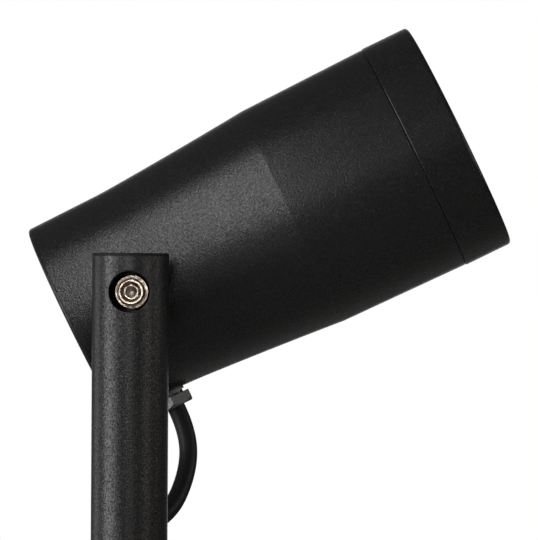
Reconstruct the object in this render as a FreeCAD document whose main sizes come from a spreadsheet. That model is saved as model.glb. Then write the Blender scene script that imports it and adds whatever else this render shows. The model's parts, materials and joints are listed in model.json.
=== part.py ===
import FreeCAD, Part
import math
import os
import Sketcher
from FreeCAD import Placement, Rotation, Vector

# Garden spike spotlight. A cast head tilts on one bolt at the top of a straight tube post, and the
# post stands in the socket of a cruciform ground spike. Millimetres, +Z up. The origin lies on the
# post's axis at ground level, so the spike is below z = 0, and the head is beside the post at +Y.

doc = FreeCAD.newDocument("garden_spotlight")
sheet = doc.addObject("Spreadsheet::Sheet", "size")

SIZES = {
    # Ground spike casting
    "spike_reach": 200.0,
    "blade_width": 46.0,
    "blade_thickness": 3.6,
    "blade_tip_width": 13.0,
    "blade_point_length": 22.0,
    "spike_core": 11.0,
    "spike_core_tip": 4.0,
    "flange_diameter": 74.0,
    "flange_thickness": 4.0,
    "socket_wall": 5.0,
    "socket_height": 44.0,
    "socket_floor": 6.0,
    "gusset_thickness": 3.0,
    "gusset_height": 22.0,
    "gusset_margin": 4.0,
    "gusset_toe": 1.0,
    "drain_diameter": 4.5,
    "drain_circle": 19.0,
    "casting_edge": 1.0,
    "grub_diameter": 6.0,
    "grub_height": 31.0,
    "grub_key": 3.0,
    "grub_key_depth": 3.0,
    "grub_point_gap": 0.05,
    "swivel_clearance": 0.05,
    # Post and its cap
    "post_top": 240.0,
    "post_diameter": 28.0,
    "post_wall": 2.0,
    "pivot_drop": 13.0,
    "access_diameter": 15.0,
    "cap_thickness": 1.1,
    "cap_edge": 0.5,
    "cap_wall": 1.6,
    "cap_fit": 0.05,
    "cap_above_hole": 0.5,
    "loop_entry_drop": 101.0,
    "outlet_height": 62.0,
    # Rubber grommets in the back of the post
    "grommet_hole": 10.5,
    "grommet_flange": 14.5,
    "grommet_stand": 1.4,
    "grommet_inner_flange": 12.0,
    "grommet_inner_stand": 1.8,
    "cable_diameter": 6.8,
    "cable_fit": 0.05,
    "outlet_bore": 7.0,
    # Tilt pivot through the post's far wall
    "bolt_diameter": 6.0,
    "bolt_length": 25.0,
    "bolt_head_diameter": 10.0,
    "bolt_head_height": 6.0,
    "bolt_key": 5.0,
    "bolt_key_depth": 3.0,
    "bolt_running_fit": 0.05,
    "lock_washer_diameter": 9.9,
    "lock_washer_thickness": 1.6,
    "lock_washer_slit": 1.0,
    "inner_saddle_diameter": 12.0,
    "inner_saddle_thickness": 2.5,
    "spacer_diameter": 20.0,
    "spacer_thickness": 2.0,
    "turning_gap": 0.05,
    "boss_diameter": 20.0,
    "boss_stand": 2.5,
    "boss_depth": 20.0,
    "insert_diameter": 10.0,
    "insert_length": 14.0,
    "bolt_tip_room": 1.5,
    "bolt_room": 0.3,
    # Head housing, with lengths along its own axis
    "head_tilt": 26.3,
    "pivot_from_rear": 26.6,
    "rear_length": 31.1,
    "taper_length": 60.4,
    "barrel_length": 50.8,
    "rear_diameter": 77.6,
    "neck_flare": 0.45,
    "taper_flare": 4.55,
    "barrel_flare": 0.95,
    "casting_wall": 3.0,
    "rear_wall": 4.0,
    "rear_edge": 1.5,
    "neck_blend": 4.0,
    "shoulder_blend": 5.0,
    "seam_edge": 0.35,
    "ledge_station": 88.6,
    "pad_inset": 3.3,
    "pad_diameter": 8.0,
    "pad_depth": 12.0,
    # Spigot for the screw-on bezel
    "land_step": 2.85,
    "land_length": 5.0,
    "thread_depth": 1.0,
    "spigot_wall": 2.3,
    "spigot_length": 11.0,
    "seal_groove_from_seam": 1.4,
    "seal_section": 1.6,
    "seal_groove_play": 0.2,
    # Bezel ring
    "bezel_stand": 0.25,
    "bezel_length": 19.1,
    "seam_gap": 0.15,
    "bezel_fit": 0.1,
    "mouth_overhang": 1.0,
    "bezel_front_edge": 1.5,
    "bezel_mouth_edge": 1.2,
    # Glass in its rubber channel
    "glass_room": 1.0,
    "glass_thickness": 4.0,
    "glass_edge": 0.4,
    "channel_flange": 0.75,
    "channel_room": 0.3,
    "channel_hold": 2.5,
    # Light engine
    "spreader_thickness": 4.0,
    "spreader_fit": 0.1,
    "wire_hole": 9.0,
    "wire_station": 24.0,
    "chip_side": 24.0,
    "chip_thickness": 1.2,
    "chip_fit": 0.1,
    "emitter_diameter": 18.0,
    "emitter_rise": 0.6,
    "holder_diameter": 40.0,
    "holder_thickness": 4.0,
    "holder_screw_circle": 33.0,
    "small_screw": 3.0,
    "small_head": 5.5,
    "small_head_height": 2.2,
    "low_head": 4.4,
    "head_top_share": 0.7,
    "slot_width": 0.8,
    "blind_floor": 1.0,
    "screw_tip_gap": 0.5,
    "reflector_throat": 23.0,
    "reflector_wall": 0.9,
    "reflector_front_gap": 1.0,
    "reflector_room": 1.3,
    "reflector_gap": 0.3,
    "reflector_bands": 6,
    # Driver, bracket and terminals in the rear of the housing
    "bracket_width": 38.0,
    "bracket_length": 62.0,
    "bracket_metal": 1.5,
    "bracket_level": 3.0,
    "bracket_foot": 15.0,
    "driver_width": 32.0,
    "driver_length": 58.0,
    "driver_height": 20.0,
    "driver_edge": 1.5,
    "driver_gap": 1.0,
    "terminal_width": 27.0,
    "terminal_length": 17.0,
    "terminal_height": 13.0,
    "terminal_screw": 3.6,
    "terminal_shift": 2.0,
    "terminal_pitch": 8.4,
    "wire_diameter": 1.8,
    "wire_spacing": 5.0,
    "core_diameter": 2.4,
    "core_spread": 1.9,
    "earth_screw": 4.0,
    "earth_head": 7.6,
    "earth_tag": 1.0,
    "earth_tag_diameter": 9.6,
    "earth_offset": 24.0,
    # Cable gland under the rear of the housing
    "gland_from_rear": 21.1,
    "spotface_diameter": 13.0,
    "spotface_depth": 0.5,
    "gland_boss": 17.0,
    "gland_boss_depth": 5.0,
    "gland_thread": 10.0,
    "gland_reach_inside": 8.0,
    "gland_washer": 0.5,
    "gland_collar": 11.8,
    "gland_collar_thickness": 0.7,
    "gland_neck": 1.1,
    "gland_nut_flats": 14.0,
    "gland_nut_thickness": 4.3,
    "gland_nut_chamfer": 1.3,
    "gland_nut_end_wall": 1.2,
    "gland_thread_play": 0.05,
    "gland_seal_wall": 0.75,
    "gland_seal_length": 2.6,
    "jacket_inside": 20.0,
    # Route of the cable loop, from the gland's nut round to the post, and on inside the post
    "loop_straight": 10.0,
    "loop_bulge": 5.0,
    "loop_bend_in": 4.3,
    "loop_bend_drop": 23.4,
    "loop_return_out": 13.6,
    "loop_return_aside": 23.1,
    "loop_return_rise": 5.2,
    "loop_lead_in": 12.5,
    "cable_turn_in": 9.4,
    "cable_turn_down": 9.0,
    # In-line connector inside the post
    "connector_diameter": 17.0,
    "connector_nut": 15.0,
    "connector_length": 34.0,
    "connector_nut_length": 6.0,
    "connector_drop": 27.0,
    # How far a cutting or joined piece runs past a face
    "overrun": 1.0,
}

# Sizes that follow from others: the head grows by its flares from rear to seam, and everything that
# screws, seals or sits at the front is stepped in from the seam
DERIVED = {
    "socket_diameter": "post_diameter + 2*socket_wall",
    "neck_diameter": "rear_diameter + 2*neck_flare",
    "shoulder_diameter": "neck_diameter + 2*taper_flare",
    "seam_diameter": "shoulder_diameter + 2*barrel_flare",
    "rear_bore": "rear_diameter - 2*casting_wall",
    "pad_circle": "rear_bore - 2*pad_inset",
    "land_diameter": "seam_diameter - 2*land_step",
    "thread_root": "land_diameter - 2*thread_depth",
    "front_bore": "thread_root - 2*spigot_wall",
    "bezel_diameter": "seam_diameter + 2*bezel_stand",
    "bezel_bore": "land_diameter + 2*bezel_fit",
    "glass_diameter": "bezel_bore - 2*glass_room",
    "channel_diameter": "bezel_bore - 2*channel_room",
    "channel_opening": "glass_diameter - 2*channel_hold",
    "bezel_mouth": "channel_opening - 2*mouth_overhang",
    "reflector_mouth": "front_bore - 2*reflector_room",
}

for row, (alias, size) in enumerate(SIZES.items(), start=1):
    sheet.set(f"A{row}", alias)
    sheet.set(f"B{row}", str(size))
    sheet.setAlias(f"B{row}", alias)
doc.recompute()
for row, (alias, formula) in enumerate(DERIVED.items(), start=len(SIZES) + 1):
    sheet.set(f"A{row}", alias)
    sheet.set(f"B{row}", f"={formula}")
    sheet.setAlias(f"B{row}", alias)
    doc.recompute()

ALONG_X = Rotation(Vector(0, 1, 0), 90)
ALONG_Y = Rotation(Vector(1, 0, 0), -90)
ALONG_Z = Rotation()
CENTRE = ("0", "0", "0")
TOUCH = 0.001
RUN_SHARE_FOR_ARC = 0.45
VOLUME_ERROR_ALLOWED = 0.01

sub_parts = []


# ---------------------------------------------------------------- helpers

def number(formula):
    """The present value of a formula of sheet cells."""
    return float(sheet.evalExpression(formula))


def move_to(thing, at, turn=ALONG_Z):
    """Tie an object's place to three formulas."""
    thing.Placement = Placement(Vector(), turn)
    for letter, formula in zip("xyz", at):
        thing.setExpression(f"Placement.Base.{letter}", formula)
    return thing


def in_head(thing):
    """Seat an object, drawn along the head's own axis, at the tilted head's place beside the post."""
    thing.Placement = Placement(Vector(), Rotation(Vector(0, 1, 0), 45))
    thing.setExpression("Placement.Base.y", HEAD_OFFSET)
    thing.setExpression("Placement.Base.z", PIVOT_HEIGHT)
    thing.setExpression("Placement.Rotation.Angle", "90 - size.head_tilt")
    return thing


def sub_part(thing, name):
    """Count an object as a piece of the lamp, under the name of its file."""
    thing.Label = name
    sub_parts.append(thing)
    return thing


def cylinder(name, diameter, length, at=CENTRE, turn=ALONG_Z):
    rod = doc.addObject("Part::Cylinder", name)
    rod.setExpression("Radius", f"({diameter})/2")
    rod.setExpression("Height", length)
    return move_to(rod, at, turn)


def cone(name, start_diameter, end_diameter, length, at=CENTRE, turn=ALONG_Z):
    taper = doc.addObject("Part::Cone", name)
    taper.setExpression("Radius1", f"({start_diameter})/2")
    taper.setExpression("Radius2", f"({end_diameter})/2")
    taper.setExpression("Height", length)
    return move_to(taper, at, turn)


def block(name, across, deep, high, corner):
    box = doc.addObject("Part::Box", name)
    box.setExpression("Length", across)
    box.setExpression("Width", deep)
    box.setExpression("Height", high)
    return move_to(box, corner)


def hexagon(name, flats, length, at=CENTRE, turn=ALONG_Z):
    prism = doc.addObject("Part::Prism", name)
    prism.Polygon = 6
    prism.setExpression("Circumradius", f"({flats})/2/cos(30 deg)")
    prism.setExpression("Height", length)
    return move_to(prism, at, turn)


def cut(name, base, *tools):
    """The base with each tool taken out of it."""
    for step, tool in enumerate(tools):
        result = doc.addObject("Part::Cut", f"{name}_{step}")
        result.Base = base
        result.Tool = tool
        base = result
    return base


def fuse(name, *pieces):
    result = doc.addObject("Part::MultiFuse", name)
    result.Shapes = list(pieces)
    result.Refine = True
    return result


def common(name, first, second):
    result = doc.addObject("Part::Common", name)
    result.Base = first
    result.Tool = second
    return result


def group(name, pieces):
    """Several alike, separate solids as one node."""
    result = doc.addObject("Part::Compound", name)
    result.Links = list(pieces)
    return result


def new_body(name):
    return doc.addObject("PartDesign::Body", name)


def new_sketch(body, name, role, offset="0"):
    """A sketch on one of the body's own origin planes, moved along the plane's normal."""
    sketch = body.newObject("Sketcher::SketchObject", name)
    plane = next(part for part in body.Origin.OriginFeatures if part.Role == role)
    sketch.AttachmentSupport = [(plane, "")]
    sketch.MapMode = "FlatFace"
    sketch.setExpression(".AttachmentOffset.Base.z", offset)
    return sketch


def fix_point(sketch, shape, end, across, up):
    """Dimension one point of a sketch from the sketch's origin."""
    for kind, formula in (("DistanceX", across), ("DistanceY", up)):
        index = sketch.addConstraint(
            Sketcher.Constraint(kind, -1, 1, shape, end, number(formula))
        )
        sketch.setExpression(f"Constraints[{index}]", formula)


def draw_outline(sketch, corners):
    """A closed outline through dimensioned corners. After a corner marked "arc" the outline runs on in
    an arc that leaves the line before it smoothly; every other stretch is straight."""
    points = [Vector(number(corner[0]), number(corner[1]), 0) for corner in corners]
    curved = [len(corner) > 2 for corner in corners]
    count = len(points)
    first_end = []
    for index, (start, end) in enumerate(zip(points, points[1:] + points[:1])):
        if curved[index]:
            sketch.addGeometry(smooth_arc(points[index - 1], start, end), False)
            turned_round = (sketch.Geometry[index].StartPoint - start).Length > TOUCH
            first_end.append(2 if turned_round else 1)
        else:
            sketch.addGeometry(Part.LineSegment(start, end), False)
            first_end.append(1)
    for index in range(count):
        following = (index + 1) % count
        last_end = 3 - first_end[index]
        kind = "Tangent" if curved[following] else "Coincident"
        sketch.addConstraint(
            Sketcher.Constraint(kind, index, last_end, following, first_end[following])
        )
    for index, corner in enumerate(corners):
        fix_point(sketch, index, first_end[index], corner[0], corner[1])


def smooth_arc(before, start, end):
    """The arc between start and end that carries on the line from before to start. A sketch keeps its
    arcs anticlockwise, so one that bends the other way is drawn from its end."""
    way = (start - before).normalize()
    chord = end - start
    rise = math.tan(way.getAngle(chord) / 2) * chord.Length / 2
    aside = way - chord * (way.dot(chord) / chord.dot(chord))
    middle = (start + end) * 0.5 + aside.normalize() * rise
    if (middle - start).cross(end - middle).z < 0:
        return Part.Arc(end, middle, start)
    return Part.Arc(start, middle, end)


def eased(before, corner, after, reach):
    """Two places, that far before and after a corner of a turned outline, joined by an arc."""
    place = []
    for other, sign in ((before, "-"), (after, "+")):
        slope = f"(({corner[0]}) - ({other[0]}))/(({corner[1]}) - ({other[1]}))"
        place.append((f"({corner[0]}) {sign} {reach}*{slope}", f"{corner[1]} {sign} {reach}"))
    return [(*place[0], "arc"), place[1]]


def draw_circle(sketch, across, up, diameter):
    centre = Vector(number(across), number(up), 0)
    ring = Part.Circle(centre, Vector(0, 0, 1), number(diameter) / 2)
    index = sketch.addGeometry(ring, False)
    fix_point(sketch, index, 3, across, up)
    width = sketch.addConstraint(Sketcher.Constraint("Diameter", index, number(diameter)))
    sketch.setExpression(f"Constraints[{width}]", diameter)


def revolve(body, name, corners):
    """Turn an outline of (radius, height) corners round the body's Z axis."""
    sketch = new_sketch(body, f"{name}_outline", "XZ_Plane")
    draw_outline(sketch, corners)
    feature = body.newObject("PartDesign::Revolution", name)
    feature.Profile = (sketch, [""])
    feature.ReferenceAxis = (sketch, ["V_Axis"])
    feature.Angle = 360
    doc.recompute()
    return feature


def groove(body, name, corners):
    """Take an outline turned round the body's Z axis out of the body, and make sure that it cuts."""
    before = body.Shape.Volume
    sketch = new_sketch(body, f"{name}_outline", "XZ_Plane")
    draw_outline(sketch, corners)
    feature = body.newObject("PartDesign::Groove", name)
    feature.Profile = (sketch, [""])
    feature.ReferenceAxis = (sketch, ["V_Axis"])
    feature.Angle = 360
    doc.recompute()
    if not body.Shape.Volume < before:
        raise RuntimeError(f"{name} cuts nothing")
    return feature


def pad(body, name, sketch, length, midplane=False, reverse=False):
    feature = body.newObject("PartDesign::Pad", name)
    feature.Profile = (sketch, [""])
    feature.setExpression("Length", length)
    feature.Midplane = midplane
    feature.Reversed = reverse
    doc.recompute()
    return feature


def pocket(body, name, sketch, length, midplane=False, reverse=False):
    """Cut a sketch into the body, and make sure that it cuts."""
    before = body.Shape.Volume
    feature = body.newObject("PartDesign::Pocket", name)
    feature.Profile = (sketch, [""])
    feature.setExpression("Length", length)
    feature.Midplane = midplane
    feature.Reversed = reverse
    doc.recompute()
    if not body.Shape.Volume < before:
        raise RuntimeError(f"{name} cuts nothing")
    return feature


def polar(body, name, feature, count, angle=360.0):
    """Repeat a feature round the body's Z axis."""
    pattern = body.newObject("PartDesign::PolarPattern", name)
    pattern.Originals = [feature]
    upright = next(part for part in body.Origin.OriginFeatures if part.Role == "Z_Axis")
    pattern.Axis = (upright, [""])
    pattern.Angle = angle
    pattern.Occurrences = count
    body.Tip = pattern
    doc.recompute()
    return pattern


def rings(shape, *places):
    """Names of the full circles round the Z axis at the given (radius, height) places."""
    names = []
    for index, edge in enumerate(shape.Edges, start=1):
        if not isinstance(edge.Curve, Part.Circle):
            continue
        for radius, height in places:
            centre = edge.Curve.Center
            off_axis = math.hypot(centre.x, centre.y)
            same = abs(edge.Curve.Radius - number(radius)) < TOUCH
            level = abs(centre.z - number(height)) < TOUCH
            if same and level and off_axis < TOUCH:
                names.append(f"Edge{index}")
    if len(names) < len(places):
        raise RuntimeError("an edge to round was not found")
    return names


def round_edges(body, name, size, *places):
    base = body.Tip
    feature = body.newObject("PartDesign::Fillet", name)
    feature.Base = (base, rings(base.Shape, *places))
    feature.setExpression("Radius", size)
    doc.recompute()
    return feature


def bevel_edges(body, name, size, *places):
    base = body.Tip
    feature = body.newObject("PartDesign::Chamfer", name)
    feature.Base = (base, rings(base.Shape, *places))
    feature.setExpression("Size", size)
    doc.recompute()
    return feature


def smooth_route(name, points, diameter):
    """Straight runs and tangent arcs through a route's points; each arc is as large as its runs allow."""
    edges = []
    start = points[0]
    radii = []
    for before, corner, after in zip(points, points[1:], points[2:]):
        inward = (before - corner).normalize()
        outward = (after - corner).normalize()
        half_turn = (math.pi - inward.getAngle(outward)) / 2
        trim = RUN_SHARE_FOR_ARC * min((before - corner).Length, (after - corner).Length)
        radius = trim / math.tan(half_turn)
        radii.append(radius)
        first = corner + inward * trim
        last = corner + outward * trim
        bisector = (inward + outward).normalize()
        centre_distance = radius / math.cos(half_turn)
        middle = corner + bisector * (centre_distance - radius)
        edges.append(Part.LineSegment(start, first).toShape())
        edges.append(Part.Arc(first, middle, last).toShape())
        start = last
    edges.append(Part.LineSegment(start, points[-1]).toShape())
    wire = Part.Wire(edges)
    listed = ", ".join(f"{radius:.1f}" for radius in radii)
    print(f"{name}: length {wire.Length:.1f}, arc radii {listed}, diameter {diameter:.1f}")
    return wire


def lead_shape(name, points, diameter):
    """A round cable along a route, with its volume compared with section times length."""
    route = smooth_route(name, points, diameter)
    direction = (points[1] - points[0]).normalize()
    ring = Part.Circle(points[0], direction, diameter / 2).toShape()
    tube = route.makePipeShell([Part.Wire([ring])], True, False)
    expected = math.pi * diameter ** 2 / 4 * route.Length
    if abs(tube.Volume / expected - 1) > VOLUME_ERROR_ALLOWED:
        raise RuntimeError(f"{name} has the wrong volume")
    return tube


def lead(name, points, diameter):
    feature = doc.addObject("Part::Feature", name)
    feature.Shape = lead_shape(name, points, diameter)
    feature.Placement = Placement()
    return feature


# ---------------------------------------------------------------- places worked out from the sizes

PIVOT_HEIGHT = "(size.post_top - size.pivot_drop)"
POST_BORE = "(size.post_diameter - 2*size.post_wall)"
SADDLE_FACE = "(size.post_diameter/2 + size.spacer_thickness)"
BOSS_FACE = "(size.neck_diameter/2 + size.boss_stand)"
HEAD_OFFSET = f"({SADDLE_FACE} + size.turning_gap + {BOSS_FACE})"
BOLT_BORE = "(size.bolt_diameter + 2*size.bolt_running_fit)"
INNER_SADDLE_FACE = f"({POST_BORE}/2 - size.inner_saddle_thickness)"
BOLT_SEAT = f"({INNER_SADDLE_FACE} - size.lock_washer_thickness)"

# Stations on the head's axis, counted from the pivot towards the front
REAR = "(-size.pivot_from_rear)"
NECK = f"({REAR} + size.rear_length)"
SHOULDER = f"({NECK} + size.taper_length)"
SEAM = f"({SHOULDER} + size.barrel_length)"
SPIGOT_END = f"({SEAM} + size.spigot_length)"
GLASS_BACK = f"({SPIGOT_END} + size.channel_flange)"
LIP = f"({GLASS_BACK} + size.glass_thickness + size.channel_flange)"
FRONT = f"({SEAM} + size.bezel_length)"
LEDGE = f"({REAR} + size.ledge_station)"
SPREADER_FRONT = f"({LEDGE} + size.spreader_thickness)"
HOLDER_FRONT = f"({SPREADER_FRONT} + size.holder_thickness)"
REAR_FLOOR = f"({REAR} + size.rear_wall)"
EARTH_PLACE = ("size.earth_offset", "-size.earth_offset/2")

# Distances out from the head's axis along the gland
GLAND_STATION = f"({REAR} + size.gland_from_rear)"
SPOTFACE = "(size.neck_diameter/2 - size.spotface_depth)"
COLLAR_BACK = f"({SPOTFACE} + size.gland_washer)"
NUT_BACK = f"({COLLAR_BACK} + size.gland_collar_thickness + size.gland_neck)"
NUT_FRONT = f"({NUT_BACK} + size.gland_nut_thickness)"
NUT_FLOOR = f"({NUT_FRONT} - size.gland_nut_end_wall)"
CABLE_BORE = "(size.cable_diameter + 2*size.cable_fit)"


# ---------------------------------------------------------------- ground spike

def ground_spike():
    """One casting: a socket for the post, a ground flange with gussets, and four tapered blades."""
    body = new_body("ground_spike")
    socket_bore = "(size.post_diameter/2 + size.swivel_clearance)"
    revolve(body, "socket_and_flange", [
        ("0", "0"),
        ("size.flange_diameter/2", "0"),
        ("size.flange_diameter/2", "size.flange_thickness"),
        ("size.socket_diameter/2", "size.flange_thickness"),
        ("size.socket_diameter/2", "size.socket_height"),
        (socket_bore, "size.socket_height"),
        (socket_bore, "size.socket_floor"),
        ("0", "size.socket_floor"),
    ])
    round_edges(
        body, "rim_rounding", "size.casting_edge",
        ("size.flange_diameter/2", "size.flange_thickness"),
        ("size.socket_diameter/2", "size.socket_height"),
    )

    gusset = new_sketch(body, "gusset_outline", "XZ_Plane")
    draw_outline(gusset, [
        ("size.post_diameter/2 + size.post_wall", "size.flange_thickness/2"),
        ("size.flange_diameter/2 - size.gusset_margin", "size.flange_thickness/2"),
        ("size.flange_diameter/2 - size.gusset_margin", "size.flange_thickness + size.gusset_toe"),
        ("size.socket_diameter/2", "size.flange_thickness + size.gusset_height"),
        ("size.post_diameter/2 + size.post_wall", "size.flange_thickness + size.gusset_height"),
    ])
    rib = pad(body, "gusset", gusset, "size.gusset_thickness", midplane=True)
    polar(body, "gussets", rib, 4)

    drain = new_sketch(body, "drain_outline", "XY_Plane", "size.socket_floor")
    draw_circle(
        drain, "size.drain_circle/2*cos(45 deg)", "size.drain_circle/2*sin(45 deg)",
        "size.drain_diameter",
    )
    hole = pocket(body, "drain", drain, "size.socket_floor")
    polar(body, "drains", hole, 4)

    blade = new_sketch(body, "blade_outline", "XZ_Plane")
    shank = "(size.blade_point_length - size.spike_reach)"
    draw_outline(blade, [
        ("-size.blade_width/2", "0"),
        ("size.blade_width/2", "0"),
        ("size.blade_tip_width/2", shank),
        ("0", "-size.spike_reach"),
        ("-size.blade_tip_width/2", shank),
    ])
    fin = pad(body, "blade", blade, "size.blade_thickness", midplane=True)
    polar(body, "blades", fin, 2, 90.0)
    revolve(body, "blade_core", [
        ("0", "0"),
        ("size.spike_core/2", "0"),
        ("size.spike_core_tip/2", shank),
        ("0", shank),
    ])

    screw_hole = new_sketch(body, "grub_hole_outline", "YZ_Plane")
    draw_circle(screw_hole, "0", "size.grub_height", "size.grub_diameter")
    pocket(body, "grub_holes", screw_hole, "size.socket_diameter + 2*size.overrun", midplane=True)
    return sub_part(body, "ground_spike")


def grub_screws():
    """Two set screws through the socket's wall, one each side, that hold the post."""
    seat = "(size.post_diameter/2 + size.swivel_clearance + size.grub_point_gap)"
    length = f"(size.socket_diameter/2 - {seat})"
    screws = []
    for side, turn in (("left", Rotation(Vector(0, 1, 0), -90)), ("right", ALONG_X)):
        sign = "-" if side == "left" else ""
        shank = cylinder(
            f"grub_{side}_shank", "size.grub_diameter", length,
            (f"{sign}{seat}", "0", "size.grub_height"), turn,
        )
        socket = hexagon(
            f"grub_{side}_socket", "size.grub_key", "size.grub_key_depth + size.overrun",
            (f"{sign}(size.socket_diameter/2 - size.grub_key_depth)", "0", "size.grub_height"), turn,
        )
        screws.append(cut(f"grub_{side}", shank, socket))
    return sub_part(group("spike_grub_screws", screws), "spike_grub_screws")


# ---------------------------------------------------------------- post

def post_tube():
    """Round tube with four drilled holes: key access in front; bolt, loop and outlet at the back."""
    body = new_body("post_tube")
    section = new_sketch(body, "tube_section", "XY_Plane", "size.socket_floor")
    draw_circle(section, "0", "0", "size.post_diameter")
    draw_circle(section, "0", "0", POST_BORE)
    pad(body, "tube", section, "size.post_top - size.socket_floor")

    access = new_sketch(body, "access_outline", "XZ_Plane")
    draw_circle(access, "0", PIVOT_HEIGHT, "size.access_diameter")
    pocket(body, "access_hole", access, "size.post_diameter", reverse=True)

    for name, height, diameter in (
        ("bolt_hole", PIVOT_HEIGHT, BOLT_BORE),
        ("loop_hole", "size.post_top - size.loop_entry_drop", "size.grommet_hole"),
        ("outlet_hole", "size.outlet_height", "size.grommet_hole"),
    ):
        back = new_sketch(body, f"{name}_outline", "XZ_Plane")
        draw_circle(back, "0", height, diameter)
        pocket(body, name, back, "size.post_diameter")
    return sub_part(body, "post_tube")


def post_cap():
    """Thin disc that closes the tube, on a short hollow plug."""
    body = new_body("post_cap")
    plug = f"({POST_BORE}/2 - size.cap_fit)"
    plug_depth = "(size.pivot_drop - size.access_diameter/2 - size.cap_above_hole)"
    cap_top = "(size.post_top + size.cap_thickness)"
    revolve(body, "disc_and_plug", [
        ("0", cap_top),
        ("size.post_diameter/2", cap_top),
        ("size.post_diameter/2", "size.post_top"),
        (plug, "size.post_top"),
        (plug, f"size.post_top - {plug_depth}"),
        (f"{plug} - size.cap_wall", f"size.post_top - {plug_depth}"),
        (f"{plug} - size.cap_wall", "size.post_top"),
        ("0", "size.post_top"),
    ])
    round_edges(body, "cap_rounding", "size.cap_edge", ("size.post_diameter/2", cap_top))
    return sub_part(body, "post_cap")


def grommet(name, height, bore):
    """Rubber ring through the post's back wall: a flange shaped to the tube outside, a lip inside."""
    outer_face = "(size.post_diameter/2 + size.grommet_stand)"
    inner_face = f"({POST_BORE}/2 - size.grommet_inner_stand)"
    place = ("0", "0", height)
    flange = cut(
        f"{name}_flange",
        cylinder(f"{name}_disc", "size.grommet_flange", outer_face, place, ALONG_Y),
        cylinder(f"{name}_outside", "size.post_diameter", "size.post_top"),
    )
    neck_start = ("0", inner_face, height)
    neck = cylinder(
        f"{name}_neck", "size.grommet_hole", f"{outer_face} - {inner_face}", neck_start, ALONG_Y
    )
    lip = common(
        f"{name}_lip",
        cylinder(f"{name}_lip_disc", "size.grommet_inner_flange", POST_BORE, neck_start, ALONG_Y),
        cylinder(f"{name}_inside", POST_BORE, "size.post_top"),
    )
    ring = fuse(f"{name}_ring", flange, neck, lip)
    hole = cylinder(f"{name}_bore", bore, "size.post_diameter", place, ALONG_Y)
    return sub_part(cut(name, ring, hole), name)


# ---------------------------------------------------------------- tilt pivot

def saddle_spacer():
    """Round pad between post and head: hollow on the tube's side, flat on the head's side."""
    pad_disc = cylinder(
        "spacer_disc", "size.spacer_diameter", SADDLE_FACE, ("0", "0", PIVOT_HEIGHT), ALONG_Y
    )
    tube = cylinder("spacer_hollow", "size.post_diameter", "size.post_top + size.spacer_diameter")
    hole = cylinder("spacer_bore", BOLT_BORE, "size.post_diameter", ("0", "0", PIVOT_HEIGHT), ALONG_Y)
    return sub_part(cut("saddle_spacer", pad_disc, tube, hole), "saddle_spacer")


def inner_saddle():
    """Washer inside the tube: round on the wall's side, flat under the bolt."""
    start = ("0", INNER_SADDLE_FACE, PIVOT_HEIGHT)
    disc = cylinder("inner_saddle_disc", "size.inner_saddle_diameter", POST_BORE, start, ALONG_Y)
    bore = cylinder("inner_saddle_limit", POST_BORE, "size.post_top + size.spacer_diameter")
    shaped = common("inner_saddle_shape", disc, bore)
    hole = cylinder("inner_saddle_bore", BOLT_BORE, POST_BORE, start, ALONG_Y)
    return sub_part(cut("inner_saddle", shaped, hole), "inner_saddle")


def lock_washer():
    """Split spring washer under the bolt's head."""
    start = ("0", BOLT_SEAT, PIVOT_HEIGHT)
    disc = cylinder(
        "lock_washer_disc", "size.lock_washer_diameter", "size.lock_washer_thickness", start, ALONG_Y
    )
    hole = cylinder("lock_washer_bore", BOLT_BORE, "size.lock_washer_thickness", start, ALONG_Y)
    slit = block(
        "lock_washer_slit", "size.lock_washer_slit", "size.lock_washer_thickness",
        "size.lock_washer_diameter",
        ("-size.lock_washer_slit/2", BOLT_SEAT, PIVOT_HEIGHT),
    )
    return sub_part(cut("lock_washer", disc, hole, slit), "lock_washer")


def pivot_bolt():
    """Socket head cap screw from inside the post into the head's boss."""
    head_top = f"({BOLT_SEAT} - size.bolt_head_height)"
    head = cylinder(
        "bolt_head", "size.bolt_head_diameter", "size.bolt_head_height - size.turning_gap",
        ("0", head_top, PIVOT_HEIGHT), ALONG_Y,
    )
    shank_length = "(size.bolt_length + size.bolt_head_height)"
    shank = cylinder(
        "bolt_shank", "size.bolt_diameter", shank_length, ("0", head_top, PIVOT_HEIGHT), ALONG_Y
    )
    socket = hexagon(
        "bolt_socket", "size.bolt_key", "size.bolt_key_depth + size.overrun",
        ("0", f"{head_top} - size.overrun", PIVOT_HEIGHT), ALONG_Y,
    )
    return sub_part(cut("pivot_bolt", fuse("bolt_blank", head, shank), socket), "pivot_bolt")


def pivot_insert():
    """Threaded bush cast into the head's boss."""
    start = ("0", f"{SADDLE_FACE} + size.turning_gap", PIVOT_HEIGHT)
    bush = cylinder("insert_bush", "size.insert_diameter", "size.insert_length", start, ALONG_Y)
    hole = cylinder("insert_thread", "size.bolt_diameter", "size.insert_length", start, ALONG_Y)
    return sub_part(cut("pivot_insert", bush, hole), "pivot_insert")


# ---------------------------------------------------------------- head housing

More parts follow.
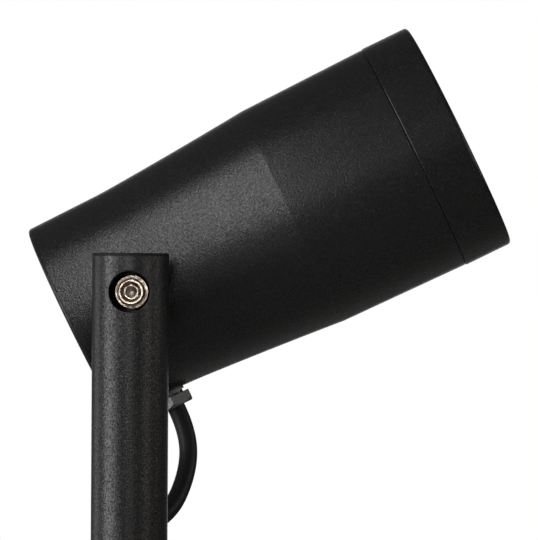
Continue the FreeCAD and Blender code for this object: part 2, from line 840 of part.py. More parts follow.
def head_housing():
    """Cast housing: short rear drum, long taper, barrel and spigot, with a pivot boss on its side."""
    body = new_body("head_housing")
    rear = ("size.rear_diameter/2", REAR)
    neck = ("size.neck_diameter/2", NECK)
    shoulder = ("size.shoulder_diameter/2", SHOULDER)
    seam = ("size.seam_diameter/2", SEAM)
    revolve(body, "casting", [
        ("0", REAR),
        rear,
        *eased(rear, neck, shoulder, "size.neck_blend"),
        *eased(neck, shoulder, seam, "size.shoulder_blend"),
        seam,
        ("size.land_diameter/2", SEAM),
        ("size.land_diameter/2", f"{SEAM} + size.land_length"),
        ("size.thread_root/2", f"{SEAM} + size.land_length"),
        ("size.thread_root/2", SPIGOT_END),
        ("0", SPIGOT_END),
    ])
    round_edges(body, "rear_rounding", "size.rear_edge", ("size.rear_diameter/2", REAR))
    bevel_edges(body, "seam_bevel", "size.seam_edge", ("size.seam_diameter/2", SEAM))

    boss = new_sketch(body, "boss_outline", "XZ_Plane", BOSS_FACE)
    draw_circle(boss, "0", "0", "size.boss_diameter")
    pad(body, "pivot_boss", boss, "size.boss_stand + size.neck_diameter/4", reverse=True)

    seal_start = f"({SEAM} + size.seal_groove_from_seam)"
    seal_floor = "(size.land_diameter/2 - size.seal_section + size.seal_groove_play/2)"
    seal_end = f"({seal_start} + size.seal_section + size.seal_groove_play)"
    groove(body, "seal_groove", [
        (seal_floor, seal_start),
        ("size.land_diameter/2 + size.overrun", seal_start),
        ("size.land_diameter/2 + size.overrun", seal_end),
        (seal_floor, seal_end),
    ])
    groove(body, "cavity", [
        ("0", REAR_FLOOR),
        ("size.rear_bore/2", REAR_FLOOR),
        ("size.rear_bore/2", LEDGE),
        ("size.front_bore/2", LEDGE),
        ("size.front_bore/2", f"{SPIGOT_END} + size.overrun"),
        ("0", f"{SPIGOT_END} + size.overrun"),
    ])

    inner_face = f"({BOSS_FACE} - size.boss_depth)"
    inner_boss = new_sketch(body, "inner_boss_outline", "XZ_Plane", inner_face)
    draw_circle(inner_boss, "0", "0", "size.boss_diameter")
    pad(body, "inner_boss", inner_boss, f"size.rear_bore/2 + size.overrun - {inner_face}")

    gland_boss = new_sketch(
        body, "gland_boss_outline", "YZ_Plane", "size.rear_bore/2 - size.gland_boss_depth"
    )
    draw_circle(gland_boss, "0", GLAND_STATION, "size.gland_boss")
    pad(body, "gland_boss", gland_boss, "size.gland_boss_depth + size.overrun")

    screw_pad = new_sketch(body, "screw_pad_outline", "XY_Plane", LEDGE)
    draw_circle(screw_pad, "size.pad_circle/2", "0", "size.pad_diameter")
    first_pad = pad(body, "screw_pad", screw_pad, "size.pad_depth", reverse=True)
    polar(body, "screw_pads", first_pad, 3)
    pad_hole = new_sketch(body, "pad_hole_outline", "XY_Plane", LEDGE)
    draw_circle(pad_hole, "size.pad_circle/2", "0", "size.small_screw")
    first_hole = pocket(body, "pad_hole", pad_hole, "size.pad_depth - size.blind_floor")
    polar(body, "pad_holes", first_hole, 3)
    wall_holes = new_sketch(body, "wall_hole_outline", "XY_Plane", REAR_FLOOR)
    for across, side in bracket_screw_places():
        draw_circle(wall_holes, across, side, "size.small_screw")
    draw_circle(wall_holes, *EARTH_PLACE, "size.earth_screw")
    pocket(body, "wall_holes", wall_holes, "size.rear_wall - size.blind_floor")

    spotface = new_sketch(body, "spotface_outline", "YZ_Plane", SPOTFACE)
    draw_circle(spotface, "0", GLAND_STATION, "size.spotface_diameter")
    pocket(body, "gland_spotface", spotface, "size.spotface_depth + size.overrun", reverse=True)
    gland_hole = new_sketch(body, "gland_hole_outline", "YZ_Plane")
    draw_circle(gland_hole, "0", GLAND_STATION, "size.gland_thread")
    pocket(body, "gland_hole", gland_hole, "size.neck_diameter", reverse=True)

    insert_seat = new_sketch(body, "insert_seat_outline", "XZ_Plane", BOSS_FACE)
    draw_circle(insert_seat, "0", "0", "size.insert_diameter")
    pocket(body, "insert_seat", insert_seat, "size.insert_length")
    bolt_room = new_sketch(body, "bolt_room_outline", "XZ_Plane", BOSS_FACE)
    draw_circle(bolt_room, "0", "0", "size.bolt_diameter + 2*size.bolt_room")
    pocket(body, "bolt_room", bolt_room, "size.boss_depth - size.bolt_tip_room")
    return sub_part(in_head(body), "head_housing")


def bracket_screw_places():
    """Two places on the housing's rear wall, under the bracket's foot."""
    level = "size.bracket_level + size.bracket_metal + size.bracket_foot/2"
    return [(f"{sign}size.bracket_width/3", level) for sign in ("-", "")]


def spreader_screw_places():
    """Three places round the head's axis, over the housing's screw pads."""
    places = []
    for angle in (0, 120, 240):
        across = f"size.pad_circle/2*cos({angle} deg)"
        side = f"size.pad_circle/2*sin({angle} deg)"
        places.append((across, side))
    return places


def holder_screw_places():
    """Two places across the head's axis."""
    return ["-size.holder_screw_circle/2", "size.holder_screw_circle/2"]


# ---------------------------------------------------------------- bezel, glass and seals

def bezel_seal():
    """O-ring in the groove of the housing's front land."""
    ring = doc.addObject("Part::Torus", "bezel_seal_ring")
    ring.setExpression("Radius1", "size.land_diameter/2 + size.seal_groove_play/2 - size.seal_section/2")
    ring.setExpression("Radius2", "size.seal_section/2")
    middle = f"{SEAM} + size.seal_groove_from_seam + size.seal_section/2 + size.seal_groove_play/2"
    move_to(ring, ("0", "0", middle))
    return sub_part(in_head(group("bezel_seal", [ring])), "bezel_seal")


def bezel_ring():
    """Screw-on ring that holds the glass: plain drum, rounded at the front, with a bevelled mouth."""
    body = new_body("bezel_ring")
    bore = "size.bezel_bore/2"
    back = f"({SEAM} + size.seam_gap)"
    revolve(body, "ring", [
        (bore, back),
        ("size.bezel_diameter/2", back),
        ("size.bezel_diameter/2", FRONT),
        ("size.bezel_mouth/2", FRONT),
        ("size.bezel_mouth/2", LIP),
        (bore, LIP),
    ])
    round_edges(body, "front_rounding", "size.bezel_front_edge", ("size.bezel_diameter/2", FRONT))
    bevel_edges(body, "mouth_bevel", "size.bezel_mouth_edge", ("size.bezel_mouth/2", FRONT))
    bevel_edges(body, "back_bevel", "size.seam_edge", ("size.bezel_diameter/2", back))
    return sub_part(in_head(body), "bezel_ring")


def glass_channel():
    """Rubber channel round the glass's edge."""
    body = new_body("glass_channel")
    front = f"({GLASS_BACK} + size.glass_thickness + size.channel_flange)"
    revolve(body, "channel", [
        ("size.channel_opening/2", SPIGOT_END),
        ("size.channel_diameter/2", SPIGOT_END),
        ("size.channel_diameter/2", front),
        ("size.channel_opening/2", front),
        ("size.channel_opening/2", f"{front} - size.channel_flange"),
        ("size.glass_diameter/2", f"{front} - size.channel_flange"),
        ("size.glass_diameter/2", GLASS_BACK),
        ("size.channel_opening/2", GLASS_BACK),
    ])
    return sub_part(in_head(body), "glass_channel")


def front_glass():
    """Flat toughened disc with ground edges."""
    body = new_body("front_glass")
    front = f"({GLASS_BACK} + size.glass_thickness)"
    revolve(body, "disc", [
        ("0", GLASS_BACK),
        ("size.glass_diameter/2", GLASS_BACK),
        ("size.glass_diameter/2", front),
        ("0", front),
    ])
    bevel_edges(
        body, "ground_edges", "size.glass_edge",
        ("size.glass_diameter/2", GLASS_BACK), ("size.glass_diameter/2", front),
    )
    return sub_part(in_head(body), "front_glass")


# ---------------------------------------------------------------- light engine

def heat_spreader():
    """Aluminium disc on the housing's ledge, with a hole for the wires and screw holes."""
    body = new_body("heat_spreader")
    plate = new_sketch(body, "plate_outline", "XY_Plane", LEDGE)
    draw_circle(plate, "0", "0", "size.front_bore - 2*size.spreader_fit")
    draw_circle(plate, "0", "size.wire_station", "size.wire_hole")
    for across, side in spreader_screw_places():
        draw_circle(plate, across, side, "size.small_screw + 2*size.spreader_fit")
    for across in holder_screw_places():
        draw_circle(plate, across, "0", "size.small_screw")
    pad(body, "plate", plate, "size.spreader_thickness")
    return sub_part(in_head(body), "heat_spreader")


def pan_screw(name, at, length, diameter="size.small_screw", head="size.small_head"):
    """Pan head screw along the head's axis; the place is under its head."""
    across, side, station = at
    shank = cylinder(
        f"{name}_shank", diameter, length, (across, side, f"{station} - {length}")
    )
    dome = cone(
        f"{name}_dome", head, f"{head}*size.head_top_share", "size.small_head_height",
        (across, side, station),
    )
    slot = block(
        f"{name}_slot", head, "size.slot_width", "size.small_head_height",
        (f"{across} - {head}/2", f"{side} - size.slot_width/2", f"{station} + size.small_head_height/2"),
    )
    return cut(name, fuse(f"{name}_blank", shank, dome), slot)


def spreader_screws():
    length = "(size.spreader_thickness + size.pad_depth/2)"
    screws = [
        pan_screw(f"spreader_screw_{index}", (across, side, SPREADER_FRONT), length)
        for index, (across, side) in enumerate(spreader_screw_places())
    ]
    return sub_part(in_head(group("spreader_screws", screws)), "spreader_screws")


def light_chip():
    """Square board with a round emitter."""
    board = block(
        "chip_board", "size.chip_side", "size.chip_side", "size.chip_thickness",
        ("-size.chip_side/2", "-size.chip_side/2", SPREADER_FRONT),
    )
    emitter = cylinder(
        "chip_emitter", "size.emitter_diameter", "size.chip_thickness + size.emitter_rise",
        ("0", "0", SPREADER_FRONT),
    )
    return sub_part(in_head(fuse("light_chip", board, emitter)), "light_chip")


def chip_holder():
    """Ring that clamps the board to the spreader and carries the reflector."""
    ring = cylinder(
        "holder_ring", "size.holder_diameter", "size.holder_thickness", ("0", "0", SPREADER_FRONT)
    )
    opening = cylinder(
        "holder_opening", "size.reflector_throat", "size.holder_thickness", ("0", "0", SPREADER_FRONT)
    )
    recess = block(
        "holder_recess", "size.chip_side + 2*size.chip_fit", "size.chip_side + 2*size.chip_fit",
        "size.chip_thickness",
        ("-size.chip_side/2 - size.chip_fit", "-size.chip_side/2 - size.chip_fit", SPREADER_FRONT),
    )
    holes = [
        cylinder(
            f"holder_hole_{index}", "size.small_screw + 2*size.spreader_fit", "size.holder_thickness",
            (across, "0", SPREADER_FRONT),
        )
        for index, across in enumerate(holder_screw_places())
    ]
    return sub_part(in_head(cut("chip_holder", ring, opening, recess, *holes)), "chip_holder")


def holder_screws():
    length = "(size.holder_thickness + size.spreader_thickness/2)"
    screws = [
        pan_screw(
            f"holder_screw_{index}", (across, "0", HOLDER_FRONT), length, head="size.low_head"
        )
        for index, across in enumerate(holder_screw_places())
    ]
    return sub_part(in_head(group("holder_screws", screws)), "holder_screws")


def reflector():
    """Spun bowl of six bands on a parabola, from the holder's opening to the glass."""
    body = new_body("reflector")
    bands = round(number("size.reflector_bands"))
    throat = "(size.reflector_throat/2 + size.reflector_gap)"
    mouth = "(size.reflector_mouth/2)"
    seat = f"({HOLDER_FRONT} + size.small_head_height + size.reflector_gap)"
    depth = f"({SPIGOT_END} - size.reflector_front_gap - {seat})"
    inside = []
    for band in range(bands + 1):
        radius = f"({throat} + ({mouth} - {throat})*{band}/{bands})"
        rise = f"({radius}*{radius} - {throat}*{throat})/({mouth}*{mouth} - {throat}*{throat})"
        inside.append((radius, f"{seat} + {depth}*{rise}"))
    outside = [(f"{radius} + size.reflector_wall", up) for radius, up in reversed(inside)]
    revolve(body, "bowl", inside + outside)
    return sub_part(in_head(body), "reflector")


# ---------------------------------------------------------------- driver and terminals

def driver_bracket():
    """Bent sheet: a foot on the rear wall and a shelf along the housing."""
    half = "size.bracket_width/2"
    shelf = block(
        "bracket_shelf", "size.bracket_width", "size.bracket_metal", "size.bracket_length",
        (f"-{half}", "size.bracket_level", REAR_FLOOR),
    )
    foot = block(
        "bracket_foot", "size.bracket_width", "size.bracket_foot", "size.bracket_metal",
        (f"-{half}", "size.bracket_level", REAR_FLOOR),
    )
    holes = [
        cylinder(
            f"bracket_hole_{index}", "size.small_screw", "size.bracket_metal",
            (across, side, REAR_FLOOR),
        )
        for index, (across, side) in enumerate(bracket_screw_places())
    ]
    sheet_metal = fuse("bracket_blank", shelf, foot)
    return sub_part(in_head(cut("driver_bracket", sheet_metal, *holes)), "driver_bracket")


def bracket_screws():
    station = f"({REAR_FLOOR} + size.bracket_metal)"
    length = "(size.bracket_metal + size.rear_wall - size.blind_floor - size.screw_tip_gap)"
    screws = [
        pan_screw(f"bracket_screw_{index}", (across, side, station), length)
        for index, (across, side) in enumerate(bracket_screw_places())
    ]
    return sub_part(in_head(group("bracket_screws", screws)), "bracket_screws")


def driver_start():
    return f"({REAR_FLOOR} + size.bracket_metal + size.small_head_height + size.driver_gap)"


def led_driver():
    """Potted power supply on the bracket's shelf, with rounded edges."""
    body = new_body("led_driver")
    outline = new_sketch(body, "driver_outline", "XY_Plane", driver_start())
    level = "(size.bracket_level + size.bracket_metal)"
    draw_outline(outline, [
        ("-size.driver_width/2", level),
        ("size.driver_width/2", level),
        ("size.driver_width/2", f"{level} + size.driver_height"),
        ("-size.driver_width/2", f"{level} + size.driver_height"),
    ])
    pad(body, "driver_case", outline, "size.driver_length")
    base = body.Tip
    long_edges = [
        f"Edge{index}" for index, edge in enumerate(base.Shape.Edges, start=1)
        if abs(edge.Length - number("size.driver_length")) < TOUCH
        and edge.CenterOfMass.y > number(f"{level} + size.driver_height/2")
    ]
    rounding = body.newObject("PartDesign::Fillet", "driver_rounding")
    rounding.Base = (base, long_edges)
    rounding.setExpression("Radius", "size.driver_edge")
    doc.recompute()
    return sub_part(in_head(body), "led_driver")


def terminal_block():
    """Three-way screw terminal on the other side of the shelf, by the gland."""
    start = f"({GLAND_STATION} - size.terminal_length/2)"
    base_level = "(size.bracket_level - size.terminal_height)"
    body = block(
        "terminal_body", "size.terminal_width", "size.terminal_height", "size.terminal_length",
        ("-size.terminal_width/2 - size.terminal_shift", base_level, start),
    )
    wells = []
    for index in range(3):
        across = f"size.terminal_pitch*{index - 1} - size.terminal_shift"
        wells.append(cylinder(
            f"terminal_well_{index}", "size.terminal_screw", "size.terminal_height/2",
            (across, base_level, GLAND_STATION), ALONG_Y,
        ))
    return sub_part(in_head(cut("terminal_block", body, *wells)), "terminal_block")


def earth_terminal():
    """Ring tag and its screw on the rear wall."""
    place = (*EARTH_PLACE, REAR_FLOOR)
    tag = cylinder("earth_tag_ring", "size.earth_tag_diameter", "size.earth_tag", place)
    hole = cylinder("earth_tag_hole", "size.earth_screw", "size.earth_tag", place)
    sub_part(in_head(cut("earth_tag", tag, hole)), "earth_tag")
    seat = (*EARTH_PLACE, f"({REAR_FLOOR} + size.earth_tag)")
    length = "(size.earth_tag + size.rear_wall - size.blind_floor - size.screw_tip_gap)"
    screw = pan_screw("earth_screw_piece", seat, length, "size.earth_screw", "size.earth_head")
    sub_part(in_head(group("earth_screw", [screw])), "earth_screw")


# ---------------------------------------------------------------- cable gland

def along_gland(name, diameter, start, end):
    """A round piece on the gland's axis between two distances from the head's axis."""
    return cylinder(name, diameter, f"{end} - {start}", (start, "0", GLAND_STATION), ALONG_X)


def gland_washer():
    disc = along_gland("gland_washer_disc", "size.gland_collar", SPOTFACE, COLLAR_BACK)
    hole = along_gland("gland_washer_hole", "size.gland_thread", SPOTFACE, COLLAR_BACK)
    return sub_part(in_head(cut("gland_washer", disc, hole)), "gland_washer")


def gland_body():
    """Threaded sleeve with a collar; its outer end is counterbored for the seal."""
    inner_end = f"({SPOTFACE} - size.gland_reach_inside)"
    seal_start = f"({NUT_FLOOR} - size.gland_seal_length)"
    sleeve = along_gland("gland_sleeve", "size.gland_thread", inner_end, NUT_FLOOR)
    collar = along_gland(
        "gland_collar_disc", "size.gland_collar", COLLAR_BACK,
        f"({COLLAR_BACK} + size.gland_collar_thickness)",
    )
    bore = along_gland("gland_body_bore", CABLE_BORE, inner_end, NUT_FLOOR)
    counterbore = along_gland(
        "gland_body_counterbore", f"{CABLE_BORE} + 2*size.gland_seal_wall", seal_start, NUT_FLOOR
    )
    blank = fuse("gland_body_blank", sleeve, collar)
    return sub_part(in_head(cut("gland_body", blank, bore, counterbore)), "gland_body")


def gland_seal():
    seal_start = f"({NUT_FLOOR} - size.gland_seal_length)"
    ring = along_gland(
        "gland_seal_ring", f"{CABLE_BORE} + 2*size.gland_seal_wall", seal_start, NUT_FLOOR
    )
    hole = along_gland("gland_seal_hole", CABLE_BORE, seal_start, NUT_FLOOR)
    return sub_part(in_head(cut("gland_seal", ring, hole)), "gland_seal")


def gland_nut():
    """Hexagon nut with its outer corners turned off at 45 degrees."""
    corner_first = Rotation(Vector(1, 0, 0), 30).multiply(ALONG_X)
    prism = hexagon(
        "gland_nut_prism", "size.gland_nut_flats", "size.gland_nut_thickness",
        (NUT_BACK, "0", GLAND_STATION), corner_first,
    )
    corner = "(size.gland_nut_flats/cos(30 deg))"
    turned = cone(
        "gland_nut_turning",
        f"{corner} + 2*(size.gland_nut_thickness - size.gland_nut_chamfer)",
        f"{corner} - 2*size.gland_nut_chamfer",
        "size.gland_nut_thickness", (NUT_BACK, "0", GLAND_STATION), ALONG_X,
    )
    thread = along_gland(
        "gland_nut_thread", "size.gland_thread + 2*size.gland_thread_play", NUT_BACK, NUT_FLOOR
    )
    outlet = along_gland("gland_nut_outlet", CABLE_BORE, NUT_BACK, f"({NUT_FRONT} + size.overrun)")
    blank = common("gland_nut_blank", prism, turned)
    return sub_part(in_head(cut("gland_nut", blank, thread, outlet)), "gland_nut")


def head_cable():
    """The cable's jacket inside the gland, up to the terminals."""
    jacket = along_gland("head_cable_jacket", "size.cable_diameter", "size.jacket_inside", NUT_FRONT)
    return sub_part(in_head(group("head_cable_piece", [jacket])), "head_cable")


# ---------------------------------------------------------------- cables

def gland_exit():
    """Where the cable leaves the nut, and the direction in which it leaves, at the head's tilt."""
    tilt = math.radians(number("size.head_tilt"))
    station = number(GLAND_STATION)
    out = number(NUT_FRONT)
    place = Vector(
        math.cos(tilt) * station + math.sin(tilt) * out,
        number(HEAD_OFFSET),
        number(PIVOT_HEIGHT) + math.sin(tilt) * station - math.cos(tilt) * out,
    )
    return place, Vector(math.sin(tilt), 0, -math.cos(tilt))


def cable_loop():
    """The free loop of cable from the gland under the head to the grommet in the post's back."""
    exit_place, exit_way = gland_exit()
    entry = Vector(
        0,
        number("size.post_diameter/2 + size.grommet_stand"),
        number("size.post_top - size.loop_entry_drop"),
    )
    print("loop starts at", exit_place, "and ends at", entry)
    bend = Vector(number("size.loop_bulge"), -number("size.loop_bend_in"), -number("size.loop_bend_drop"))
    back = Vector(*(number(f"size.loop_return_{way}") for way in ("out", "aside", "rise")))
    points = [
        exit_place,
        exit_place + exit_way * number("size.loop_straight"),
        exit_place + bend,
        entry + back,
        entry + Vector(0, number("size.loop_lead_in"), 0),
        entry,
    ]
    return sub_part(lead("cable_loop", points, number("size.cable_diameter")), "cable_loop")


def post_cable():
    """The same cable from the grommet down to the connector inside the post."""
    entry_height = number("size.post_top - size.loop_entry_drop")
    connector_top = entry_height - number("size.connector_drop")
    outer_face = number("size.post_diameter/2 + size.grommet_stand")
    points = [
        Vector(0, outer_face, entry_height),
        Vector(0, outer_face - number("size.cable_turn_in"), entry_height),
        Vector(0, 0, entry_height - number("size.cable_turn_down")),
        Vector(0, 0, connector_top),
    ]
    return sub_part(lead("post_cable", points, number("size.cable_diameter")), "post_cable")


def cable_connector():
    """Sealed in-line connector that hangs on the cable inside the post."""
    body = new_body("cable_connector")
    top = "(size.post_top - size.loop_entry_drop - size.connector_drop)"
    shell_top = f"({top} - size.connector_nut_length)"
    shell_end = f"({shell_top} - size.connector_length)"
    end = f"({shell_end} - size.connector_nut_length)"
    revolve(body, "shell_and_nuts", [
        ("0", top),
        ("size.connector_nut/2", top),
        ("size.connector_nut/2", shell_top),
        ("size.connector_diameter/2", shell_top),
        ("size.connector_diameter/2", shell_end),
        ("size.connector_nut/2", shell_end),
        ("size.connector_nut/2", end),
        ("0", end),
    ])
    return sub_part(body, "cable_connector")


def light_wires():
    """Two thin wires from the driver through the spreader's hole to the holder."""
    pieces = []
    start = number(f"{driver_start()} + size.driver_length")
    front = number(f"{SPREADER_FRONT} + size.holder_thickness/2")
    side = number("size.wire_station")
    edge = number("size.holder_diameter/2")
    half = number("size.wire_spacing") / 2
    for name, across in (("left", -half), ("right", half)):
        points = [
            Vector(across, side, start),
            Vector(across, side, front),
            Vector(across, edge, front),
        ]
        wire = doc.addObject("Part::Feature", f"wire_{name}")
        wire.Shape = lead_shape(f"wire_{name}", points, number("size.wire_diameter"))
        pieces.append(wire)
    return sub_part(in_head(group("light_wires", pieces)), "light_wires")


def supply_cores():
    """Three cores from the jacket's end into the terminal block."""
    pieces = []
    start = "(size.terminal_width/2 - size.terminal_shift)"
    for index, angle in enumerate((90, 210, 330)):
        side = f"size.core_spread*cos({angle} deg)"
        station = f"{GLAND_STATION} + size.core_spread*sin({angle} deg)"
        pieces.append(cylinder(
            f"core_{index}", "size.core_diameter", f"size.jacket_inside - {start}",
            (start, side, station), ALONG_X,
        ))
    return sub_part(in_head(group("supply_cores", pieces)), "supply_cores")


# ---------------------------------------------------------------- build, check and write

ground_spike()
grub_screws()
post_tube()
post_cap()
grommet("cable_grommet", "size.post_top - size.loop_entry_drop", CABLE_BORE)
grommet("outlet_grommet", "size.outlet_height", "size.outlet_bore")
saddle_spacer()
inner_saddle()
lock_washer()
pivot_bolt()
pivot_insert()
head_housing()
bezel_seal()
bezel_ring()
glass_channel()
front_glass()
heat_spreader()
spreader_screws()
light_chip()
chip_holder()
holder_screws()
reflector()
driver_bracket()
bracket_screws()
led_driver()
terminal_block()
earth_terminal()
light_wires()
supply_cores()
gland_washer()
gland_body()
gland_seal()
gland_nut()
head_cable()
cable_loop()
post_cable()
cable_connector()
doc.recompute()

for thing in doc.Objects:
    if "Invalid" in thing.State or "Error" in thing.State:
        raise RuntimeError(f"{thing.Label} has failed")
for piece in sub_parts:
    if piece.Shape.isNull() or not piece.Shape.isValid():
        raise RuntimeError(f"{piece.Label} has no valid shape")

os.makedirs("parts", exist_ok=True)
for piece in sub_parts:
    piece.Shape.exportStep(f"parts/{piece.Label}.step")
    solids = len(piece.Shape.Solids)
    print(f"{piece.Label}: {solids} solid(s), {piece.Shape.Volume / 1000:.2f} cm3")
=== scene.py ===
# %% [markdown]
# # A garden spike spotlight
# The lamp is a cast, black-coated head on a tube post, tilted about one bolt, with a short cable
# loop from its gland to the back of the post and a spike below. The solids come from the CAD frame,
# and this lesson dresses them: first the camera and the cable, then the studio, the finishes and
# the pieces that need a finer surface than the solids have.

import json
import math

import bpy
from mathutils import Matrix, Vector


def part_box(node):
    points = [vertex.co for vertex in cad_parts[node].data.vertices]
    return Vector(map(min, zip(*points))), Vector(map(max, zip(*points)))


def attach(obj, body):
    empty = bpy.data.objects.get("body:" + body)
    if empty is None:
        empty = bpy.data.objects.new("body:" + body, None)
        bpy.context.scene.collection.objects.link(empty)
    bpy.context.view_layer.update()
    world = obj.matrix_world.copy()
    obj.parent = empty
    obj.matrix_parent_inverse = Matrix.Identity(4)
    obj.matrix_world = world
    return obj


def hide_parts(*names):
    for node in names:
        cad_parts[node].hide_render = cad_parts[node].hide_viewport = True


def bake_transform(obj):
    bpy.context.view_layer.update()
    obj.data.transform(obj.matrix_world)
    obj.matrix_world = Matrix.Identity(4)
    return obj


# the CAD solids come in as nodes, and everything below is built round them
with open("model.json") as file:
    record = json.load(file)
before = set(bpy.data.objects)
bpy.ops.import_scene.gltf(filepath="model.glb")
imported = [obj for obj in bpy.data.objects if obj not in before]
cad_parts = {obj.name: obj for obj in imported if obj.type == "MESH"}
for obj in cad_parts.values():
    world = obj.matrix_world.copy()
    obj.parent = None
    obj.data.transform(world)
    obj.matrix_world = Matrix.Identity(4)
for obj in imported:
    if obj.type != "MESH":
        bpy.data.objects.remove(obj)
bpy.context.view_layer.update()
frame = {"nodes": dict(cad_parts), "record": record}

# %% [markdown]
# ## Camera
# The photograph was taken from the side with a long lens, a little to the right of the post and
# level with its top. A long lens keeps the head's two end ellipses narrow, so the focal length
# matters as much as the place. Three small turns point it: left, up, and about its own line of
# sight.

# %% Camera
CAMERA_PLACE = (0.06998, -1.8122, 0.22337)
LEFT_DEGREES, UP_DEGREES, LEAN_DEGREES = 0.619, 90.376, 0.337
FOCAL_LENGTH_MM = 331.6
SENSOR_WIDTH_MM = 36
NEAREST_SEEN, FARTHEST_SEEN = 0.05, 40
bpy.ops.object.select_all(action="DESELECT")
bpy.ops.object.camera_add(location=CAMERA_PLACE)
camera = bpy.context.object
camera.name = "side_camera"
turn_left = Matrix.Rotation(math.radians(LEFT_DEGREES), 3, "Z")
tip_up = Matrix.Rotation(math.radians(UP_DEGREES), 3, "X")
lean = Matrix.Rotation(math.radians(LEAN_DEGREES), 3, "Z")
camera.rotation_euler = (turn_left @ tip_up @ lean).to_euler()
camera.data.lens = FOCAL_LENGTH_MM
camera.data.sensor_width = SENSOR_WIDTH_MM
camera.data.clip_start = NEAREST_SEEN
camera.data.clip_end = FARTHEST_SEEN
bpy.context.scene.camera = camera
print("camera at", [round(v, 3) for v in camera.location], "lens", camera.data.lens)

# %% [markdown]
# ## Cable loop
# A rubber cable, 6.8 mm thick, leaves the gland under the head, hangs round in one bend and goes
# into the back of the post through a grommet. It could be a swept circle in the CAD, but a smooth
# spline bends more like a real cable. The route's few points are the control points of a NURBS
# line; a round bevel makes the tube, which becomes a mesh.

# %% Route of the cable
CABLE_DIAMETER = 0.0068
STEPS_ALONG = 24
STEPS_ROUND = 14
GLAND_EXIT = (0.0151626, 0.0578, 0.1839074)
GROMMET_EXIT = (0.0, 0.0154, 0.139)
loop_route = [
    GLAND_EXIT,
    (0.0195933, 0.0578, 0.1749425),
    (0.0201626, 0.0535, 0.1605074),
    (0.0136, 0.0385, 0.1442),
    (0.0, 0.0279, 0.139),
    GROMMET_EXIT,
]


def cable_line(name, points):
    """A smooth NURBS line through the air that keeps to the route's points."""
    curve = bpy.data.curves.new(name, "CURVE")
    curve.dimensions = "3D"
    curve.resolution_u = STEPS_ALONG
    spline = curve.splines.new("NURBS")
    spline.points.add(len(points) - 1)
    for control, place in zip(spline.points, points):
        control.co = (*place, 1)
    spline.order_u = 3
    spline.use_endpoint_u = True
    line = bpy.data.objects.new(name, curve)
    bpy.context.collection.objects.link(line)
    return line


loop = cable_line("rubber_cable_loop", loop_route)
centre_line = bpy.data.meshes.new_from_object(loop)
loop_path = [tuple(v.co) for v in centre_line.vertices]
loop_length = sum((Vector(b) - Vector(a)).length for a, b in zip(loop_path, loop_path[1:]))
print("cable line:", len(loop_path), "points,", round(1000 * loop_length, 1), "mm")

# %% Tube of the cable
loop.data.bevel_depth = CABLE_DIAMETER / 2
loop.data.bevel_resolution = STEPS_ROUND
bpy.ops.object.select_all(action="DESELECT")
bpy.context.view_layer.objects.active = loop
loop.select_set(True)
bpy.ops.object.convert(target="MESH")
loop = bpy.context.object
bpy.ops.object.shade_smooth()
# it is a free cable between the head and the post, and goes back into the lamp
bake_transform(loop)
# it stands for the plain tube of the solids
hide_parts("cable_loop")
print("cable tube:", len(loop.data.polygons), "faces")

# %% [markdown]
# ## Floor and background
# The background of the photograph is plain white, and a black lamp needs dark surroundings, or its
# coat turns grey. So the world is white only where the camera or clear glass looks at it, and
# glossy paint sees a white backdrop straight behind the lamp and a dim room elsewhere. The floor is
# grey and keeps the lamp's shadow. It glows a little where the camera or clear glass looks at it,
# so that it comes out pale. It lies at the tip of the spike, so that the whole lamp can be seen.

# %% World
WHITE = 1.0
DIM_ROOM = 0.1
BACKDROP_EDGE = 0.93
world = bpy.data.worlds.new("studio_room")
bpy.context.scene.world = world
world.use_nodes = True
world.node_tree.nodes.clear()


def add_node(tree, kind, place=(0, 0), **values):
    """One node of that kind; values are its own settings."""
    node = tree.nodes.new(kind)
    node.location = place
    for key, value in values.items():
        setattr(node, key, value)
    return node


room = world.node_tree
way = add_node(room, "ShaderNodeTexCoord", (-900, 0))
split = add_node(room, "ShaderNodeSeparateXYZ", (-720, 0))
behind = add_node(room, "ShaderNodeMapRange", (-540, 0))
behind.inputs["From Min"].default_value = BACKDROP_EDGE
behind.inputs["From Max"].default_value = 1.0
behind.inputs["To Min"].default_value = DIM_ROOM
behind.inputs["To Max"].default_value = WHITE
rays = add_node(room, "ShaderNodeLightPath", (-540, 300))
seen = add_node(room, "ShaderNodeMath", (-360, 300), operation="MAXIMUM")
strength = add_node(room, "ShaderNodeMix", (-180, 150), data_type="FLOAT")
strength.inputs["B"].default_value = WHITE
light = add_node(room, "ShaderNodeBackground", (0, 0))
light.inputs["Color"].default_value = (1, 1, 1, 1)
out = add_node(room, "ShaderNodeOutputWorld", (200, 0))
room.links.new(way.outputs["Generated"], split.inputs[0])
room.links.new(split.outputs["Y"], behind.inputs["Value"])
room.links.new(rays.outputs["Is Camera Ray"], seen.inputs[0])
room.links.new(rays.outputs["Is Transmission Ray"], seen.inputs[1])
room.links.new(seen.outputs[0], strength.inputs["Factor"])
room.links.new(behind.outputs["Result"], strength.inputs["A"])
room.links.new(strength.outputs["Result"], light.inputs["Strength"])
room.links.new(light.outputs[0], out.inputs["Surface"])
print("world nodes:", len(room.nodes))

